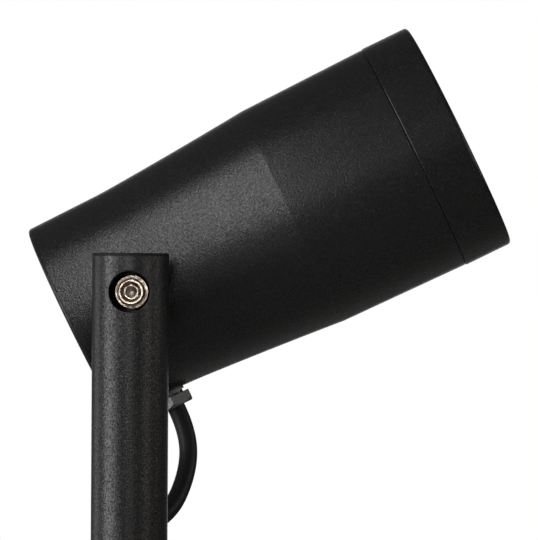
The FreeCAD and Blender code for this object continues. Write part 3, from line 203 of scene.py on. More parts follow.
# %% Floor
FLOOR_HEIGHT = -0.2
FLOOR_MIDDLE = (0.05, 0.03, FLOOR_HEIGHT)
FLOOR_RADIUS = 2.2
FLOOR_GREY = (0.45, 0.45, 0.44, 1)
FLOOR_ROUGHNESS = 0.7
FLOOR_GLOW = 0.5
bpy.ops.object.select_all(action="DESELECT")
bpy.ops.mesh.primitive_circle_add(
    vertices=96, radius=FLOOR_RADIUS, fill_type="NGON", location=FLOOR_MIDDLE
)
floor = bpy.context.object
floor.name = "studio_floor"
bpy.ops.object.transform_apply(location=True, rotation=True, scale=True)
pale = bpy.data.materials.new("pale_floor")
pale.use_nodes = True
floor_tree = pale.node_tree
floor_shader = floor_tree.nodes["Principled BSDF"]
floor_shader.inputs["Base Color"].default_value = FLOOR_GREY
floor_shader.inputs["Roughness"].default_value = FLOOR_ROUGHNESS
floor_shader.inputs["Emission Color"].default_value = (1, 1, 1, 1)
floor_rays = add_node(floor_tree, "ShaderNodeLightPath", (-700, -200))
floor_seen = add_node(floor_tree, "ShaderNodeMath", (-500, -200), operation="MAXIMUM")
floor_glow = add_node(floor_tree, "ShaderNodeMath", (-300, -200), operation="MULTIPLY")
floor_glow.inputs[1].default_value = FLOOR_GLOW
floor_tree.links.new(floor_rays.outputs["Is Camera Ray"], floor_seen.inputs[0])
floor_tree.links.new(floor_rays.outputs["Is Transmission Ray"], floor_seen.inputs[1])
floor_tree.links.new(floor_seen.outputs[0], floor_glow.inputs[0])
floor_tree.links.new(floor_glow.outputs[0], floor_shader.inputs["Emission Strength"])
floor.data.materials.append(pale)
# the floor isn't part of the lamp
print("floor at", FLOOR_HEIGHT)

# %% [markdown]
# ## Light
# A black coat shows little but the lamps' reflections, so their places matter more than their
# power. The main one is a narrow strip, half a metre long and 30 cm from the head, pointed at both
# ends so that its glow fades out. It lies square to the head's axis, so it draws a glow that stops
# at the crease. A longer, dimmer strip beside it widens the glow, and a third one further forward
# lights the barrel. A tall box and a low one on the left give the post its upright band, a small
# warm lamp on the right gives it a second one. A box on the right and one behind on the left light
# its edges. These lamps are stronger than plain studio light, and the black coats are tuned to it.

# %% Lights
HEAD_AXIS = Vector((0.896486, 0, 0.443071))
TOWARDS_CAMERA = Vector((0, -1, 0))
UP_FROM_AXIS = Vector((-0.443071, 0, 0.896486))
HEAD_POINT = Vector((0.0403, 0.0158, 0.2469))
POST_POINT = Vector((0.03, 0.02, 0.2))


def softbox(
    name, place, target, width, height, power, colour=(1, 1, 1), along=(0, 0, 1), shape="RECTANGLE"
):
    """An area light at a place that looks at the target; its height lies along the given way."""
    bpy.ops.object.select_all(action="DESELECT")
    bpy.ops.object.light_add(type="AREA")
    box = bpy.context.object
    box.name = name
    back = (place - target).normalized()
    across = Vector(along).cross(back).normalized()
    upright = back.cross(across)
    facing = Matrix((across, upright, back)).transposed().to_4x4()
    box.matrix_world = Matrix.Translation(place) @ facing
    box.data.shape = shape
    box.data.size = width
    box.data.size_y = height
    box.data.energy = power
    box.data.color = colour
    # the strips hang close to the lamp, and other views would show them
    box.visible_camera = False
    print(name, "at", [round(v, 2) for v in box.location], power, "W")


def round_the_head(lean, turn, distance):
    """A place round the head: lean is the share along its axis, turn the angle above it."""
    turn = math.radians(turn)
    ring = TOWARDS_CAMERA * math.cos(turn) + UP_FROM_AXIS * math.sin(turn)
    way = HEAD_AXIS * lean + ring * math.sqrt(1 - lean * lean)
    across_axis = UP_FROM_AXIS * math.cos(turn) - TOWARDS_CAMERA * math.sin(turn)
    return HEAD_POINT + way * distance, across_axis


def round_the_post(azimuth, elevation, distance):
    """A place by its angle to the right of the camera and its angle above the ground."""
    azimuth, elevation = math.radians(azimuth), math.radians(elevation)
    level = Vector((math.sin(azimuth), -math.cos(azimuth), 0)) * math.cos(elevation)
    return POST_POINT + (level + Vector((0, 0, math.sin(elevation)))) * distance


AWAY_FROM_POST = 1.2
WARM_WHITE = (1, 0.93, 0.84)
# name, share along the head, turn above it, distance, width, height, power, shape
head_strips = [
    ("key_strip", -0.16, 41, 0.3, 0.06, 0.5, 1.45, "ELLIPSE"),
    ("wide_strip", -0.17, 25, 0.32, 0.06, 0.9, 0.5, "ELLIPSE"),
    ("barrel_strip", 0.15, 12, 0.5, 0.08, 0.3, 0.1, "RECTANGLE"),
]
for name, share, turn, distance, width, height, power, shape in head_strips:
    place, across_axis = round_the_head(share, turn, distance)
    softbox(name, place, HEAD_POINT, width, height, power, along=across_axis, shape=shape)
# name, angle to the right, angle up, width, height, power, colour
post_lights = [
    ("left_box", -66, 3, 0.45, 0.9, 19, (1, 1, 1)),
    ("low_box", -46, -8, 0.4, 0.5, 5.5, (1, 1, 1)),
    ("warm_lamp", 52, 5, 0.36, 0.28, 2.7, WARM_WHITE),
    ("right_box", 90, 20, 0.4, 0.6, 5, (1, 1, 1)),
    ("rear_left_box", -112, -5, 0.5, 0.5, 2, (1, 1, 1)),
]
for name, azimuth, elevation, width, height, power, colour in post_lights:
    place = round_the_post(azimuth, elevation, AWAY_FROM_POST)
    softbox(name, place, POST_POINT, width, height, power, colour)

# %% [markdown]
# ## Finishes
# The cast head, the bezel and the tubes have a fine-textured black powder coat: near black, with a
# grain of about half a millimetre that breaks the light into small sparkles. It is one shader with
# fine noise for the grain's height and shine, a coarser one for its gloss, and rare paler flecks.
# The screws are plain stainless steel, the gland is brass under a dark nickel plate, the post's cap
# is matt plastic, and the cable is smooth black rubber.

# %% Helpers for finishes
def new_finish(name, colour, roughness, metallic=0.0, specular=0.5):
    """A material with its main shader's own sockets set; returns material, tree and shader."""
    material = bpy.data.materials.new(name)
    material.use_nodes = True
    tree = material.node_tree
    shader = tree.nodes["Principled BSDF"]
    shader.inputs["Base Color"].default_value = (*colour, 1)
    shader.inputs["Roughness"].default_value = roughness
    shader.inputs["Metallic"].default_value = metallic
    shader.inputs["Specular IOR Level"].default_value = specular
    return material, tree, shader


def grain(tree, scale, detail=2.0, stretch=(1, 1, 1), place=(-900, 0)):
    """Noise in the lamp's own coordinates; scale is in waves a metre."""
    where = add_node(tree, "ShaderNodeTexCoord", (place[0] - 400, place[1]))
    turn = add_node(tree, "ShaderNodeMapping", (place[0] - 200, place[1]))
    turn.inputs["Scale"].default_value = stretch
    noise = add_node(tree, "ShaderNodeTexNoise", place)
    noise.inputs["Scale"].default_value = scale
    noise.inputs["Detail"].default_value = detail
    tree.links.new(where.outputs["Object"], turn.inputs["Vector"])
    tree.links.new(turn.outputs["Vector"], noise.inputs["Vector"])
    return noise


def spread(tree, source, low, high, start=0.3, end=0.7, place=(-600, 0)):
    """Maps a texture's value from start..end to low..high."""
    step = add_node(tree, "ShaderNodeMapRange", place)
    step.inputs["From Min"].default_value = start
    step.inputs["From Max"].default_value = end
    step.inputs["To Min"].default_value = low
    step.inputs["To Max"].default_value = high
    tree.links.new(source, step.inputs["Value"])
    return step.outputs["Result"]


def rough_up(tree, shader, source, height):
    """Gives the shader a bump of that height in metres."""
    bump = add_node(tree, "ShaderNodeBump", (-300, -300))
    bump.inputs["Strength"].default_value = 1.0
    bump.inputs["Distance"].default_value = height
    tree.links.new(source, bump.inputs["Height"])
    tree.links.new(bump.outputs["Normal"], shader.inputs["Normal"])


print("helpers for finishes are ready")

# %% Powder coat
# grain, gloss patches and flecks, in waves a metre
FINE_GRAIN = 1500
GLOSS_PATCHES = 420
FLECKS = 2600


def powder_coat(name, colour, fleck, roughness, height, shine, sparkle):
    """Fine-textured black powder coat, with rare paler flecks in the grain."""
    material, tree, shader = new_finish(name, colour, roughness, specular=shine)
    fine = grain(tree, FINE_GRAIN, 3.0, place=(-900, -300))
    patches = grain(tree, GLOSS_PATCHES, 2.0, place=(-900, 100))
    tree.links.new(
        spread(tree, patches.outputs["Fac"], roughness - 0.03, roughness + 0.04, place=(-600, 100)),
        shader.inputs["Roughness"],
    )
    dullest, brightest = shine * (1 - sparkle), shine * (1 + sparkle)
    tree.links.new(
        spread(tree, fine.outputs["Fac"], dullest, brightest, 0.35, 0.65, (-600, -100)),
        shader.inputs["Specular IOR Level"],
    )
    specks = grain(tree, FLECKS, 0.0, place=(-900, 500))
    tint = add_node(tree, "ShaderNodeMix", (-300, 400), data_type="RGBA")
    tint.inputs["A"].default_value = (*colour, 1)
    tint.inputs["B"].default_value = (*fleck, 1)
    tree.links.new(
        spread(tree, specks.outputs["Fac"], 0.0, 1.0, 0.62, 0.74, (-600, 500)),
        tint.inputs["Factor"],
    )
    tree.links.new(tint.outputs["Result"], shader.inputs["Base Color"])
    rough_up(tree, shader, fine.outputs["Fac"], height)
    return material


cast_black = powder_coat(
    "cast_black_coat",
    colour=(0.0045, 0.0045, 0.0046),
    fleck=(0.011, 0.011, 0.01),
    roughness=0.24,
    height=0.0001,
    shine=0.1,
    sparkle=0.45,
)
tube_black = powder_coat(
    "tube_black_coat",
    colour=(0.005, 0.005, 0.0052),
    fleck=(0.02, 0.018, 0.015),
    roughness=0.3,
    height=0.0001,
    shine=0.12,
    sparkle=0.7,
)
print("powder coats:", cast_black.name, tube_black.name)

# %% Metals
BRUSH_MARKS = 900


def brushed_metal(name, colour, roughness, stretch, height):
    """Metal with fine marks drawn out along one direction; height is theirs, in metres."""
    material, tree, shader = new_finish(name, colour, roughness, metallic=1.0)
    marks = grain(tree, BRUSH_MARKS, 4.0, stretch)
    tree.links.new(
        spread(tree, marks.outputs["Fac"], roughness * 0.7, roughness * 1.5),
        shader.inputs["Roughness"],
    )
    rough_up(tree, shader, marks.outputs["Fac"], height)
    return material


stainless = brushed_metal("stainless_steel", (0.42, 0.35, 0.28), 0.36, (1, 4, 1), 0.00001)
nickel = brushed_metal("dark_nickel_plate", (0.08, 0.08, 0.082), 0.46, (1, 1, 6), 0.00001)
bare_aluminium = brushed_metal("bare_aluminium", (0.72, 0.73, 0.74), 0.35, (1, 5, 1), 0.00002)
brass = brushed_metal("turned_brass", (0.78, 0.58, 0.27), 0.3, (1, 1, 5), 0.00001)
reflector_bright = brushed_metal("bright_reflector", (0.88, 0.88, 0.89), 0.1, (1, 1, 1), 0.000004)
metals = (stainless, nickel, bare_aluminium, brass, reflector_bright)
print("metals:", [metal.name for metal in metals])

# %% Rubber, plastic and wire
def moulded(name, colour, roughness, grain_scale, height, specular=0.5):
    """Rubber or plastic with a fine moulded grain."""
    material, tree, shader = new_finish(name, colour, roughness, specular=specular)
    noise = grain(tree, grain_scale, 3.0)
    tree.links.new(
        spread(tree, noise.outputs["Fac"], roughness - 0.06, roughness + 0.1),
        shader.inputs["Roughness"],
    )
    rough_up(tree, shader, noise.outputs["Fac"], height)
    return material


cable_rubber = moulded("cable_rubber", (0.005, 0.005, 0.0053), 0.46, 1100, 0.00003, 0.07)
seal_rubber = moulded("seal_rubber", (0.012, 0.012, 0.013), 0.6, 1400, 0.00002)
black_plastic = moulded("black_plastic", (0.014, 0.014, 0.015), 0.5, 1800, 0.00002)
cap_plastic = moulded("matt_black_plastic", (0.004, 0.004, 0.0042), 0.6, 1800, 0.00002, 0.05)
white_plastic = moulded("white_plastic", (0.8, 0.8, 0.78), 0.4, 1500, 0.00001)
wire_red = moulded("red_wire", (0.45, 0.02, 0.015), 0.35, 900, 0.00001)
phosphor = moulded("light_phosphor", (0.86, 0.66, 0.12), 0.5, 3200, 0.00002)
rubbers = (cable_rubber, seal_rubber)
plastics = (black_plastic, cap_plastic, white_plastic, wire_red, phosphor)
print("rubber and plastic:", [finish.name for finish in rubbers + plastics])

# %% Clear glass
GLASS_IOR = 1.5
FILM_ON_GLASS = 60
clear_glass, glass_tree, glass_shader = new_finish("clear_glass", (0.95, 0.98, 0.97), 0.02)
glass_shader.inputs["Transmission Weight"].default_value = 1.0
glass_shader.inputs["IOR"].default_value = GLASS_IOR
film = grain(glass_tree, FILM_ON_GLASS, 3.0)
glass_tree.links.new(
    spread(glass_tree, film.outputs["Fac"], 0.01, 0.05), glass_shader.inputs["Roughness"]
)
print("glass:", clear_glass.name)

# %% [markdown]
# ## Dress the solids
# Each solid of the frame takes the finish that its material slot in the record names. The shapes
# stay as they are, and pieces that are modelled anew below take the place of some of them.

# %% Give every solid its finish
finishes = {
    "cast_black": cast_black,
    "tube_black": tube_black,
    "stainless": stainless,
    "nickel": nickel,
    "cable_rubber": cable_rubber,
    "seal_rubber": seal_rubber,
    "clear_glass": clear_glass,
    "reflector_bright": reflector_bright,
    "bare_aluminium": bare_aluminium,
    "phosphor": phosphor,
    "white_plastic": white_plastic,
    "black_plastic": black_plastic,
    "wire_red": wire_red,
    "brass": brass,
}
loop.data.materials.append(cable_rubber)
slots = {}
for subpart in frame["record"]["subparts"]:
    slots[subpart["node"]] = subpart["material_slot"]
for node_name, solid in frame["nodes"].items():
    solid.data.materials.clear()
    solid.data.materials.append(finishes[slots[node_name]])
print("solids dressed:", len(frame["nodes"]))

# %% [markdown]
# ## Tools of the workshop
# Most of this lamp is turned or cast round an axis. A turned piece starts as a plain circle, which
# is extruded from ring to ring and resized each time, as on a lathe; its corners are then bevelled
# and its holes cut. Every piece is made upright at the origin and then put in its place, and the
# place is applied, so that the finished object sits at the origin as the solids do.

# %% Turning
MM = 0.001
SAME_POINT = 0.001


def clear_selection():
    """The frame's solids are selected after loading, and operators would act on them too."""
    if bpy.context.mode != "OBJECT":
        bpy.ops.object.mode_set(mode="OBJECT")
    bpy.ops.object.select_all(action="DESELECT")


def turned(name, rings, sides=160, shut=False):
    """A turned piece through (radius, height) rings in mm, with its two ends filled.

    With shut the last ring meets the first instead, for a piece with a hole through it.
    """
    clear_selection()
    radius, height = rings[0]
    bpy.ops.mesh.primitive_circle_add(
        vertices=sides, radius=radius * MM, location=(0, 0, height * MM)
    )
    piece = bpy.context.object
    piece.name = name
    bpy.ops.object.transform_apply(location=True, rotation=True, scale=True)
    bpy.ops.object.mode_set(mode="EDIT")
    bpy.ops.mesh.select_mode(type="VERT")
    bpy.ops.mesh.select_all(action="SELECT")
    for next_radius, next_height in rings[1:] + (rings[:1] if shut else []):
        rise = (next_height - height) * MM
        bpy.ops.mesh.extrude_region_move(TRANSFORM_OT_translate={"value": (0, 0, rise)})
        wider = next_radius / radius
        bpy.ops.transform.resize(
            value=(wider, wider, 1), center_override=(0, 0, next_height * MM)
        )
        radius, height = next_radius, next_height
    bpy.ops.mesh.select_all(action="SELECT")
    bpy.ops.mesh.remove_doubles(threshold=SAME_POINT * MM)
    if not shut:
        bpy.ops.mesh.fill_holes(sides=0)
    bpy.ops.mesh.normals_make_consistent(inside=False)
    bpy.ops.object.mode_set(mode="OBJECT")
    return piece


print("a circle, its rings and its ends make a turned piece")

# %% Edges, cuts and surfaces
ON_THE_RING = 0.02
SHARP_CORNER = 35
LARGE_FACES_LEAD = 90


def round_ring(piece, radius, height, size, steps):
    """Bevels the edges of the ring at that radius and height, all in mm."""
    bpy.ops.object.mode_set(mode="EDIT")
    bpy.ops.mesh.select_mode(type="EDGE")
    bpy.ops.mesh.select_all(action="DESELECT")
    bpy.ops.object.mode_set(mode="OBJECT")
    points = piece.data.vertices
    for edge in piece.data.edges:
        ends = [points[i].co for i in edge.vertices]
        edge.select = all(
            abs(math.hypot(p.x, p.y) - radius * MM) < ON_THE_RING * MM
            and abs(p.z - height * MM) < ON_THE_RING * MM
            for p in ends
        )
    bpy.ops.object.mode_set(mode="EDIT")
    bpy.ops.mesh.bevel(offset=size * MM, segments=steps, affect="EDGES", clamp_overlap=False)
    bpy.ops.object.mode_set(mode="OBJECT")


def shape_with(piece, tool, operation):
    """Cuts, joins or intersects a piece with a tool, and throws the tool away."""
    clear_selection()
    bpy.context.view_layer.objects.active = piece
    piece.select_set(True)
    cutter = piece.modifiers.new("cutter", "BOOLEAN")
    cutter.operation = operation
    cutter.solver = "EXACT"
    cutter.object = tool
    bpy.ops.object.modifier_apply(modifier=cutter.name)
    bpy.data.objects.remove(tool)


def break_edges(piece, size, steps=2):
    """A small bevel in mm on every sharp corner, as tumbling or a coat leaves."""
    clear_selection()
    bpy.context.view_layer.objects.active = piece
    piece.select_set(True)
    soft = piece.modifiers.new("broken_edges", "BEVEL")
    soft.width = size * MM
    soft.segments = steps
    soft.limit_method = "ANGLE"
    soft.angle_limit = math.radians(SHARP_CORNER)
    bpy.ops.object.modifier_apply(modifier=soft.name)


def finish_surface(piece, angle=SHARP_CORNER):
    """Smooth shading that keeps sharp corners, with normals led by the large faces."""
    clear_selection()
    bpy.context.view_layer.objects.active = piece
    piece.select_set(True)
    bpy.ops.object.shade_smooth_by_angle(angle=math.radians(angle))
    even = piece.modifiers.new("even_normals", "WEIGHTED_NORMAL")
    even.keep_sharp = True
    even.weight = LARGE_FACES_LEAD
    bpy.ops.object.modifier_apply(modifier=even.name)


print("helpers for edges and cuts are ready")

# %% Putting pieces in place
PIVOT_HEIGHT = 227
HEAD_AWAY = 57.8
HEAD_TILT = 26.3
PIVOT = Vector((0, HEAD_AWAY, PIVOT_HEIGHT)) * MM
HEAD_TURN = Matrix.Rotation(math.radians(90 - HEAD_TILT), 4, "Y")
HEAD_PLACE = Matrix.Translation(PIVOT) @ HEAD_TURN
POST_PIVOT = Matrix.Translation(Vector((0, 0, PIVOT_HEIGHT)) * MM)
ALONG_Y = Matrix.Rotation(math.radians(-90), 4, "X")
ALONG_X = Matrix.Rotation(math.radians(90), 4, "Y")


def put(piece, place):
    """Moves an upright piece to its place in the lamp and applies the place to its mesh."""
    clear_selection()
    bpy.context.view_layer.objects.active = piece
    piece.select_set(True)
    piece.matrix_world = place @ piece.matrix_world
    bpy.ops.object.transform_apply(location=True, rotation=True, scale=True)


def hand_over(piece, body, finish, slot_name, *nodes):
    """Gives a finished piece its material and body, and says how far it is from the solid; its slot
    name is not used.
    """
    piece.data.materials.clear()
    piece.data.materials.append(finish)
    # it moves with the body that carries it
    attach(piece, body)
    if nodes:
        # it stands for these solids
        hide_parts(*nodes)
    places = [v.co for v in piece.data.vertices]
    low = [min(p[i] for p in places) for i in range(3)]
    high = [max(p[i] for p in places) for i in range(3)]
    text = f"{piece.name}: {len(piece.data.polygons)} faces"
    if len(nodes) == 1:
        # the solid's box shows whether the piece has its size
        solid_low, solid_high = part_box(nodes[0])
        off = [abs(low[i] - solid_low[i]) for i in range(3)]
        off += [abs(high[i] - solid_high[i]) for i in range(3)]
        text += f", box off the solid's by {max(off) / MM:.2f} mm"
    print(text)


print("pivot in mm:", [round(v / MM, 1) for v in PIVOT])

# %% [markdown]
# ## Head housing
# The housing is one casting: a short drum at the rear, a long taper that is a fifth of a millimetre
# hollow, and a barrel with a stepped spigot for the bezel. The hollow is too small to see, but it
# lets the glow grow towards the crease. Turned on one axis, the piece keeps the exact profile. Its
# first change of slope is eased over a few millimetres; the second is a narrow bevel, the crease.
# The rear edge is rounded. The pivot boss and the gland's seat are joined and cut afterwards.

# %% Turn the housing
TAPER_START = Vector((39.25, 4.5))
TAPER_END = Vector((43.64, 63.6))
TAPER_HOLLOW = 0.2
TAPER_STEPS = 12
REAR_EDGE = (38.8, -26.6)
CREASE_END = (43.8, 65.0)
SEAM_EDGE = (44.75, 115.7)
outer_wall = [REAR_EDGE, tuple(TAPER_START)]
for step in range(1, TAPER_STEPS + 1):
    share = step / TAPER_STEPS
    radius, height = TAPER_START.lerp(TAPER_END, share)
    outer_wall.append((radius - 4 * TAPER_HOLLOW * share * (1 - share), height))
outer_wall += [CREASE_END, SEAM_EDGE]
seal_groove = [(41.9, 117.1), (40.4, 117.1), (40.4, 118.9), (41.9, 118.9)]
spigot = [(41.9, 115.7), *seal_groove, (41.9, 120.7)]
spigot += [(40.9, 120.7), (40.9, 126.7), (38.6, 126.7)]
inner_wall = [(38.6, 62.0), (35.8, 62.0), (35.8, -22.6)]
housing = turned("cast_housing", outer_wall + spigot + inner_wall, sides=192)
round_ring(housing, *REAR_EDGE, size=1.5, steps=6)
round_ring(housing, *TAPER_START, size=4.0, steps=5)
round_ring(housing, *TAPER_END, size=0.3, steps=2)
round_ring(housing, *CREASE_END, size=0.4, steps=3)
round_ring(housing, *SEAM_EDGE, size=0.35, steps=2)
print("housing:", len(housing.data.polygons), "faces before its boss")

# %% Pivot boss and gland seat
BOSS_RADIUS, BOSS_FACE = 10, -41.75
boss = turned("boss_tool", [(BOSS_RADIUS, BOSS_FACE), (BOSS_RADIUS, -27)], sides=96)
round_ring(boss, BOSS_RADIUS, BOSS_FACE, size=0.5, steps=3)
put(boss, ALONG_Y)
shape_with(housing, boss, "UNION")
GLAND_STATION = -5.5
GLAND_AXIS = Matrix.Translation(Vector((0, 0, GLAND_STATION)) * MM) @ ALONG_X
spotface = turned("spotface_tool", [(6.5, 38.75), (6.5, 43)], sides=96)
put(spotface, GLAND_AXIS)
shape_with(housing, spotface, "DIFFERENCE")
gland_hole = turned("gland_hole_tool", [(5, 30), (5, 43)], sides=64)
put(gland_hole, GLAND_AXIS)
shape_with(housing, gland_hole, "DIFFERENCE")
finish_surface(housing)
put(housing, HEAD_PLACE)
hand_over(housing, "head", cast_black, "cast_black", "head_housing")

# %% [markdown]
# ## Thread on the spigot
# The bezel screws on with a coarse thread of 2 mm pitch. The solids have a plain root there. A
# thread is a small triangle swept round the axis while it climbs, which is what the Screw
# modifier does. It shows as soon as the bezel is turned off the head.

# %% Thread ridge
RIDGE_SIZE = 0.62
THREAD_PITCH = 2.0
THREAD_RADIUS = 41.0
THREAD_START = 121.6
clear_selection()
bpy.ops.mesh.primitive_circle_add(vertices=3, radius=RIDGE_SIZE * MM, location=(0, 0, 0))
ridge = bpy.context.object
ridge.name = "spigot_thread"
bpy.ops.object.mode_set(mode="EDIT")
bpy.ops.mesh.select_mode(type="VERT")
bpy.ops.mesh.select_all(action="SELECT")
bpy.ops.transform.rotate(value=math.radians(90), orient_axis="X", center_override=(0, 0, 0))
bpy.ops.transform.translate(value=(THREAD_RADIUS * MM, 0, THREAD_START * MM))
bpy.ops.object.mode_set(mode="OBJECT")
bpy.ops.object.transform_apply(location=True, rotation=True, scale=True)
climb = ridge.modifiers.new("climb", "SCREW")
climb.axis = "Z"
climb.screw_offset = THREAD_PITCH * MM
climb.iterations = 2
climb.steps = 128
climb.render_steps = 128
climb.use_merge_vertices = True
climb.merge_threshold = SAME_POINT * MM
bpy.ops.object.modifier_apply(modifier=climb.name)
bpy.ops.object.mode_set(mode="EDIT")
bpy.ops.mesh.select_all(action="SELECT")
bpy.ops.mesh.fill_holes(sides=0)
bpy.ops.mesh.normals_make_consistent(inside=False)
bpy.ops.object.mode_set(mode="OBJECT")
finish_surface(ridge)
put(ridge, HEAD_PLACE)
hand_over(ridge, "head", cast_black, "cast_black")

# %% [markdown]
# ## Bezel ring
# A plain screw-on ring, a quarter of a millimetre proud of the barrel. Its back edge and the
# barrel's front edge make the fine seam line, and a shallow chamfer on the back edge catches the
# light. Its front edge is rounded, and its mouth has a flat bevel round the glass. The section is
# turned as a closed ring.

# %% Turn the bezel
BEZEL_RADIUS = 45
BEZEL_BACK, BEZEL_FRONT = 115.85, 134.8
CHAMFER_RADIUS, CHAMFER_END = 44.87, 116.4
MOUTH_RADIUS = 37.5
BORE_RADIUS, BORE_END = 42, 132.2
bezel_section = [
    (BORE_RADIUS, BEZEL_BACK),
    (CHAMFER_RADIUS, BEZEL_BACK),
    (BEZEL_RADIUS, CHAMFER_END),
    (BEZEL_RADIUS, BEZEL_FRONT),
    (MOUTH_RADIUS, BEZEL_FRONT),
    (MOUTH_RADIUS, BORE_END),
    (BORE_RADIUS, BORE_END),
]
bezel = turned("bezel", bezel_section, sides=192, shut=True)
round_ring(bezel, BEZEL_RADIUS, BEZEL_FRONT, size=1.5, steps=6)
round_ring(bezel, CHAMFER_RADIUS, BEZEL_BACK, size=0.15, steps=3)
round_ring(bezel, MOUTH_RADIUS, BEZEL_FRONT, size=1.2, steps=1)
finish_surface(bezel)
put(bezel, HEAD_PLACE)
hand_over(bezel, "bezel", cast_black, "cast_black", "bezel_ring")

# %% [markdown]
# ## Post and cap
# The post is drawn tube, 28 mm across, with a large hole in front for the hex key and smaller ones
# behind for the bolt and the two grommets. The coat has run round the large hole's edge and made it
# soft. The cap is a thin disc with a shadow line under it.

# %% Post tube
POST_BORE, POST_RADIUS = 12, 14
POST_FOOT, POST_TOP = 6, 240
KEY_HOLE_RADIUS = 7.5
BOLT_HOLE_RADIUS = 3.05
GROMMET_HOLE_RADIUS = 5.25
LOOP_GROMMET_HEIGHT, SUPPLY_GROMMET_HEIGHT = 139, 62
post_section = [
    (POST_BORE, POST_FOOT),
    (POST_RADIUS, POST_FOOT),
    (POST_RADIUS, POST_TOP),
    (POST_BORE, POST_TOP),
]
post = turned("post", post_section, sides=128, shut=True)
key_hole = turned("key_hole_tool", [(KEY_HOLE_RADIUS, -20), (KEY_HOLE_RADIUS, -5)], sides=96)
put(key_hole, POST_PIVOT @ ALONG_Y)
shape_with(post, key_hole, "DIFFERENCE")
for height, radius in (
    (PIVOT_HEIGHT, BOLT_HOLE_RADIUS),
    (LOOP_GROMMET_HEIGHT, GROMMET_HOLE_RADIUS),
    (SUPPLY_GROMMET_HEIGHT, GROMMET_HOLE_RADIUS),
):
    drill = turned("drill_tool", [(radius, 5), (radius, 20)], sides=64)
    put(drill, Matrix.Translation((0, 0, height * MM)) @ ALONG_Y)
    shape_with(post, drill, "DIFFERENCE")
print("post:", len(post.data.polygons), "faces with its holes")

# %% Soft edge of the key hole
ON_THE_RIM = 0.04
bpy.ops.object.mode_set(mode="EDIT")
bpy.ops.mesh.select_mode(type="EDGE")
bpy.ops.mesh.select_all(action="DESELECT")
bpy.ops.object.mode_set(mode="OBJECT")
rim_edges = 0
for edge in post.data.edges:
    ends = [post.data.vertices[i].co for i in edge.vertices]
    on_rim = all(
        p.y < 0
        and abs(math.hypot(p.x, p.z - PIVOT_HEIGHT * MM) - KEY_HOLE_RADIUS * MM) < ON_THE_RIM * MM
        and abs(math.hypot(p.x, p.y) - POST_RADIUS * MM) < ON_THE_RIM * MM
        for p in ends
    )
    edge.select = on_rim
    rim_edges += on_rim
bpy.ops.object.mode_set(mode="EDIT")
bpy.ops.mesh.bevel(offset=0.35 * MM, segments=3, affect="EDGES")
bpy.ops.object.mode_set(mode="OBJECT")
finish_surface(post)
hand_over(post, "post", tube_black, "tube_black", "post_tube")
print("rim of the key hole:", rim_edges, "edges")

# %% Cap
PLUG_BORE, PLUG_RADIUS, PLUG_END = 10.35, 11.95, 235
SHADOW_LINE_RADIUS, SHADOW_LINE_TOP = 13.7, 240.16
CAP_TOP = 241.1
cap_section = [
    (PLUG_BORE, POST_TOP),
    (PLUG_BORE, PLUG_END),
    (PLUG_RADIUS, PLUG_END),
    (PLUG_RADIUS, POST_TOP),
    (SHADOW_LINE_RADIUS, POST_TOP),
    (SHADOW_LINE_RADIUS, SHADOW_LINE_TOP),
    (POST_RADIUS, SHADOW_LINE_TOP),
    (POST_RADIUS, CAP_TOP),
]
cap = turned("cap", cap_section, sides=128)
round_ring(cap, POST_RADIUS, CAP_TOP, size=0.5, steps=4)
finish_surface(cap)
hand_over(cap, "post", cap_plastic, "tube_black", "post_cap")

# %% [markdown]
# ## Pivot bolt
# Through the hole shows the head of a stainless M6 socket screw: a rounded rim, a flat face, a
# countersink and a hexagon socket with the mark of the drill at its bottom. It is turned, and the
# socket is cut with a cone, a hexagon and a drill point.

# %% Turn and cut the bolt
BOLT_HEAD_RADIUS, BOLT_RADIUS = 5, 3
BOLT_FRONT, BOLT_SHOULDER, BOLT_END = 1.9, 7.85, 32.9
bolt_section = [
    (BOLT_HEAD_RADIUS, BOLT_FRONT),
    (BOLT_HEAD_RADIUS, BOLT_SHOULDER),
    (BOLT_RADIUS, BOLT_SHOULDER),
    (BOLT_RADIUS, BOLT_END),
]
bolt = turned("pivot_screw", bolt_section, sides=96)
round_ring(bolt, BOLT_HEAD_RADIUS, BOLT_FRONT, size=0.7, steps=5)
round_ring(bolt, BOLT_RADIUS, BOLT_END, size=0.6, steps=1)
countersink = turned("countersink_tool", [(4.3, 1.5), (2.6, 3.0)], sides=96)
hexagon = turned("hexagon_tool", [(2.89, 1.5), (2.89, 4.9)], sides=6)
drill_mark = turned("drill_mark_tool", [(2.2, 4.5), (2.2, 5.1), (0.05, 5.9)], sides=48)
for tool in (countersink, hexagon, drill_mark):
    shape_with(bolt, tool, "DIFFERENCE")
break_edges(bolt, 0.12)
finish_surface(bolt, 25)
put(bolt, POST_PIVOT @ ALONG_Y)
hand_over(bolt, "head", stainless, "stainless", "pivot_bolt")

# %% [markdown]
# ## Gland nut
# The nut is a 14 mm hexagon with its outer corners turned off. A hexagon is a circle of six sides;
# crossing it with a cone leaves the curved chamfers that a real nut has.

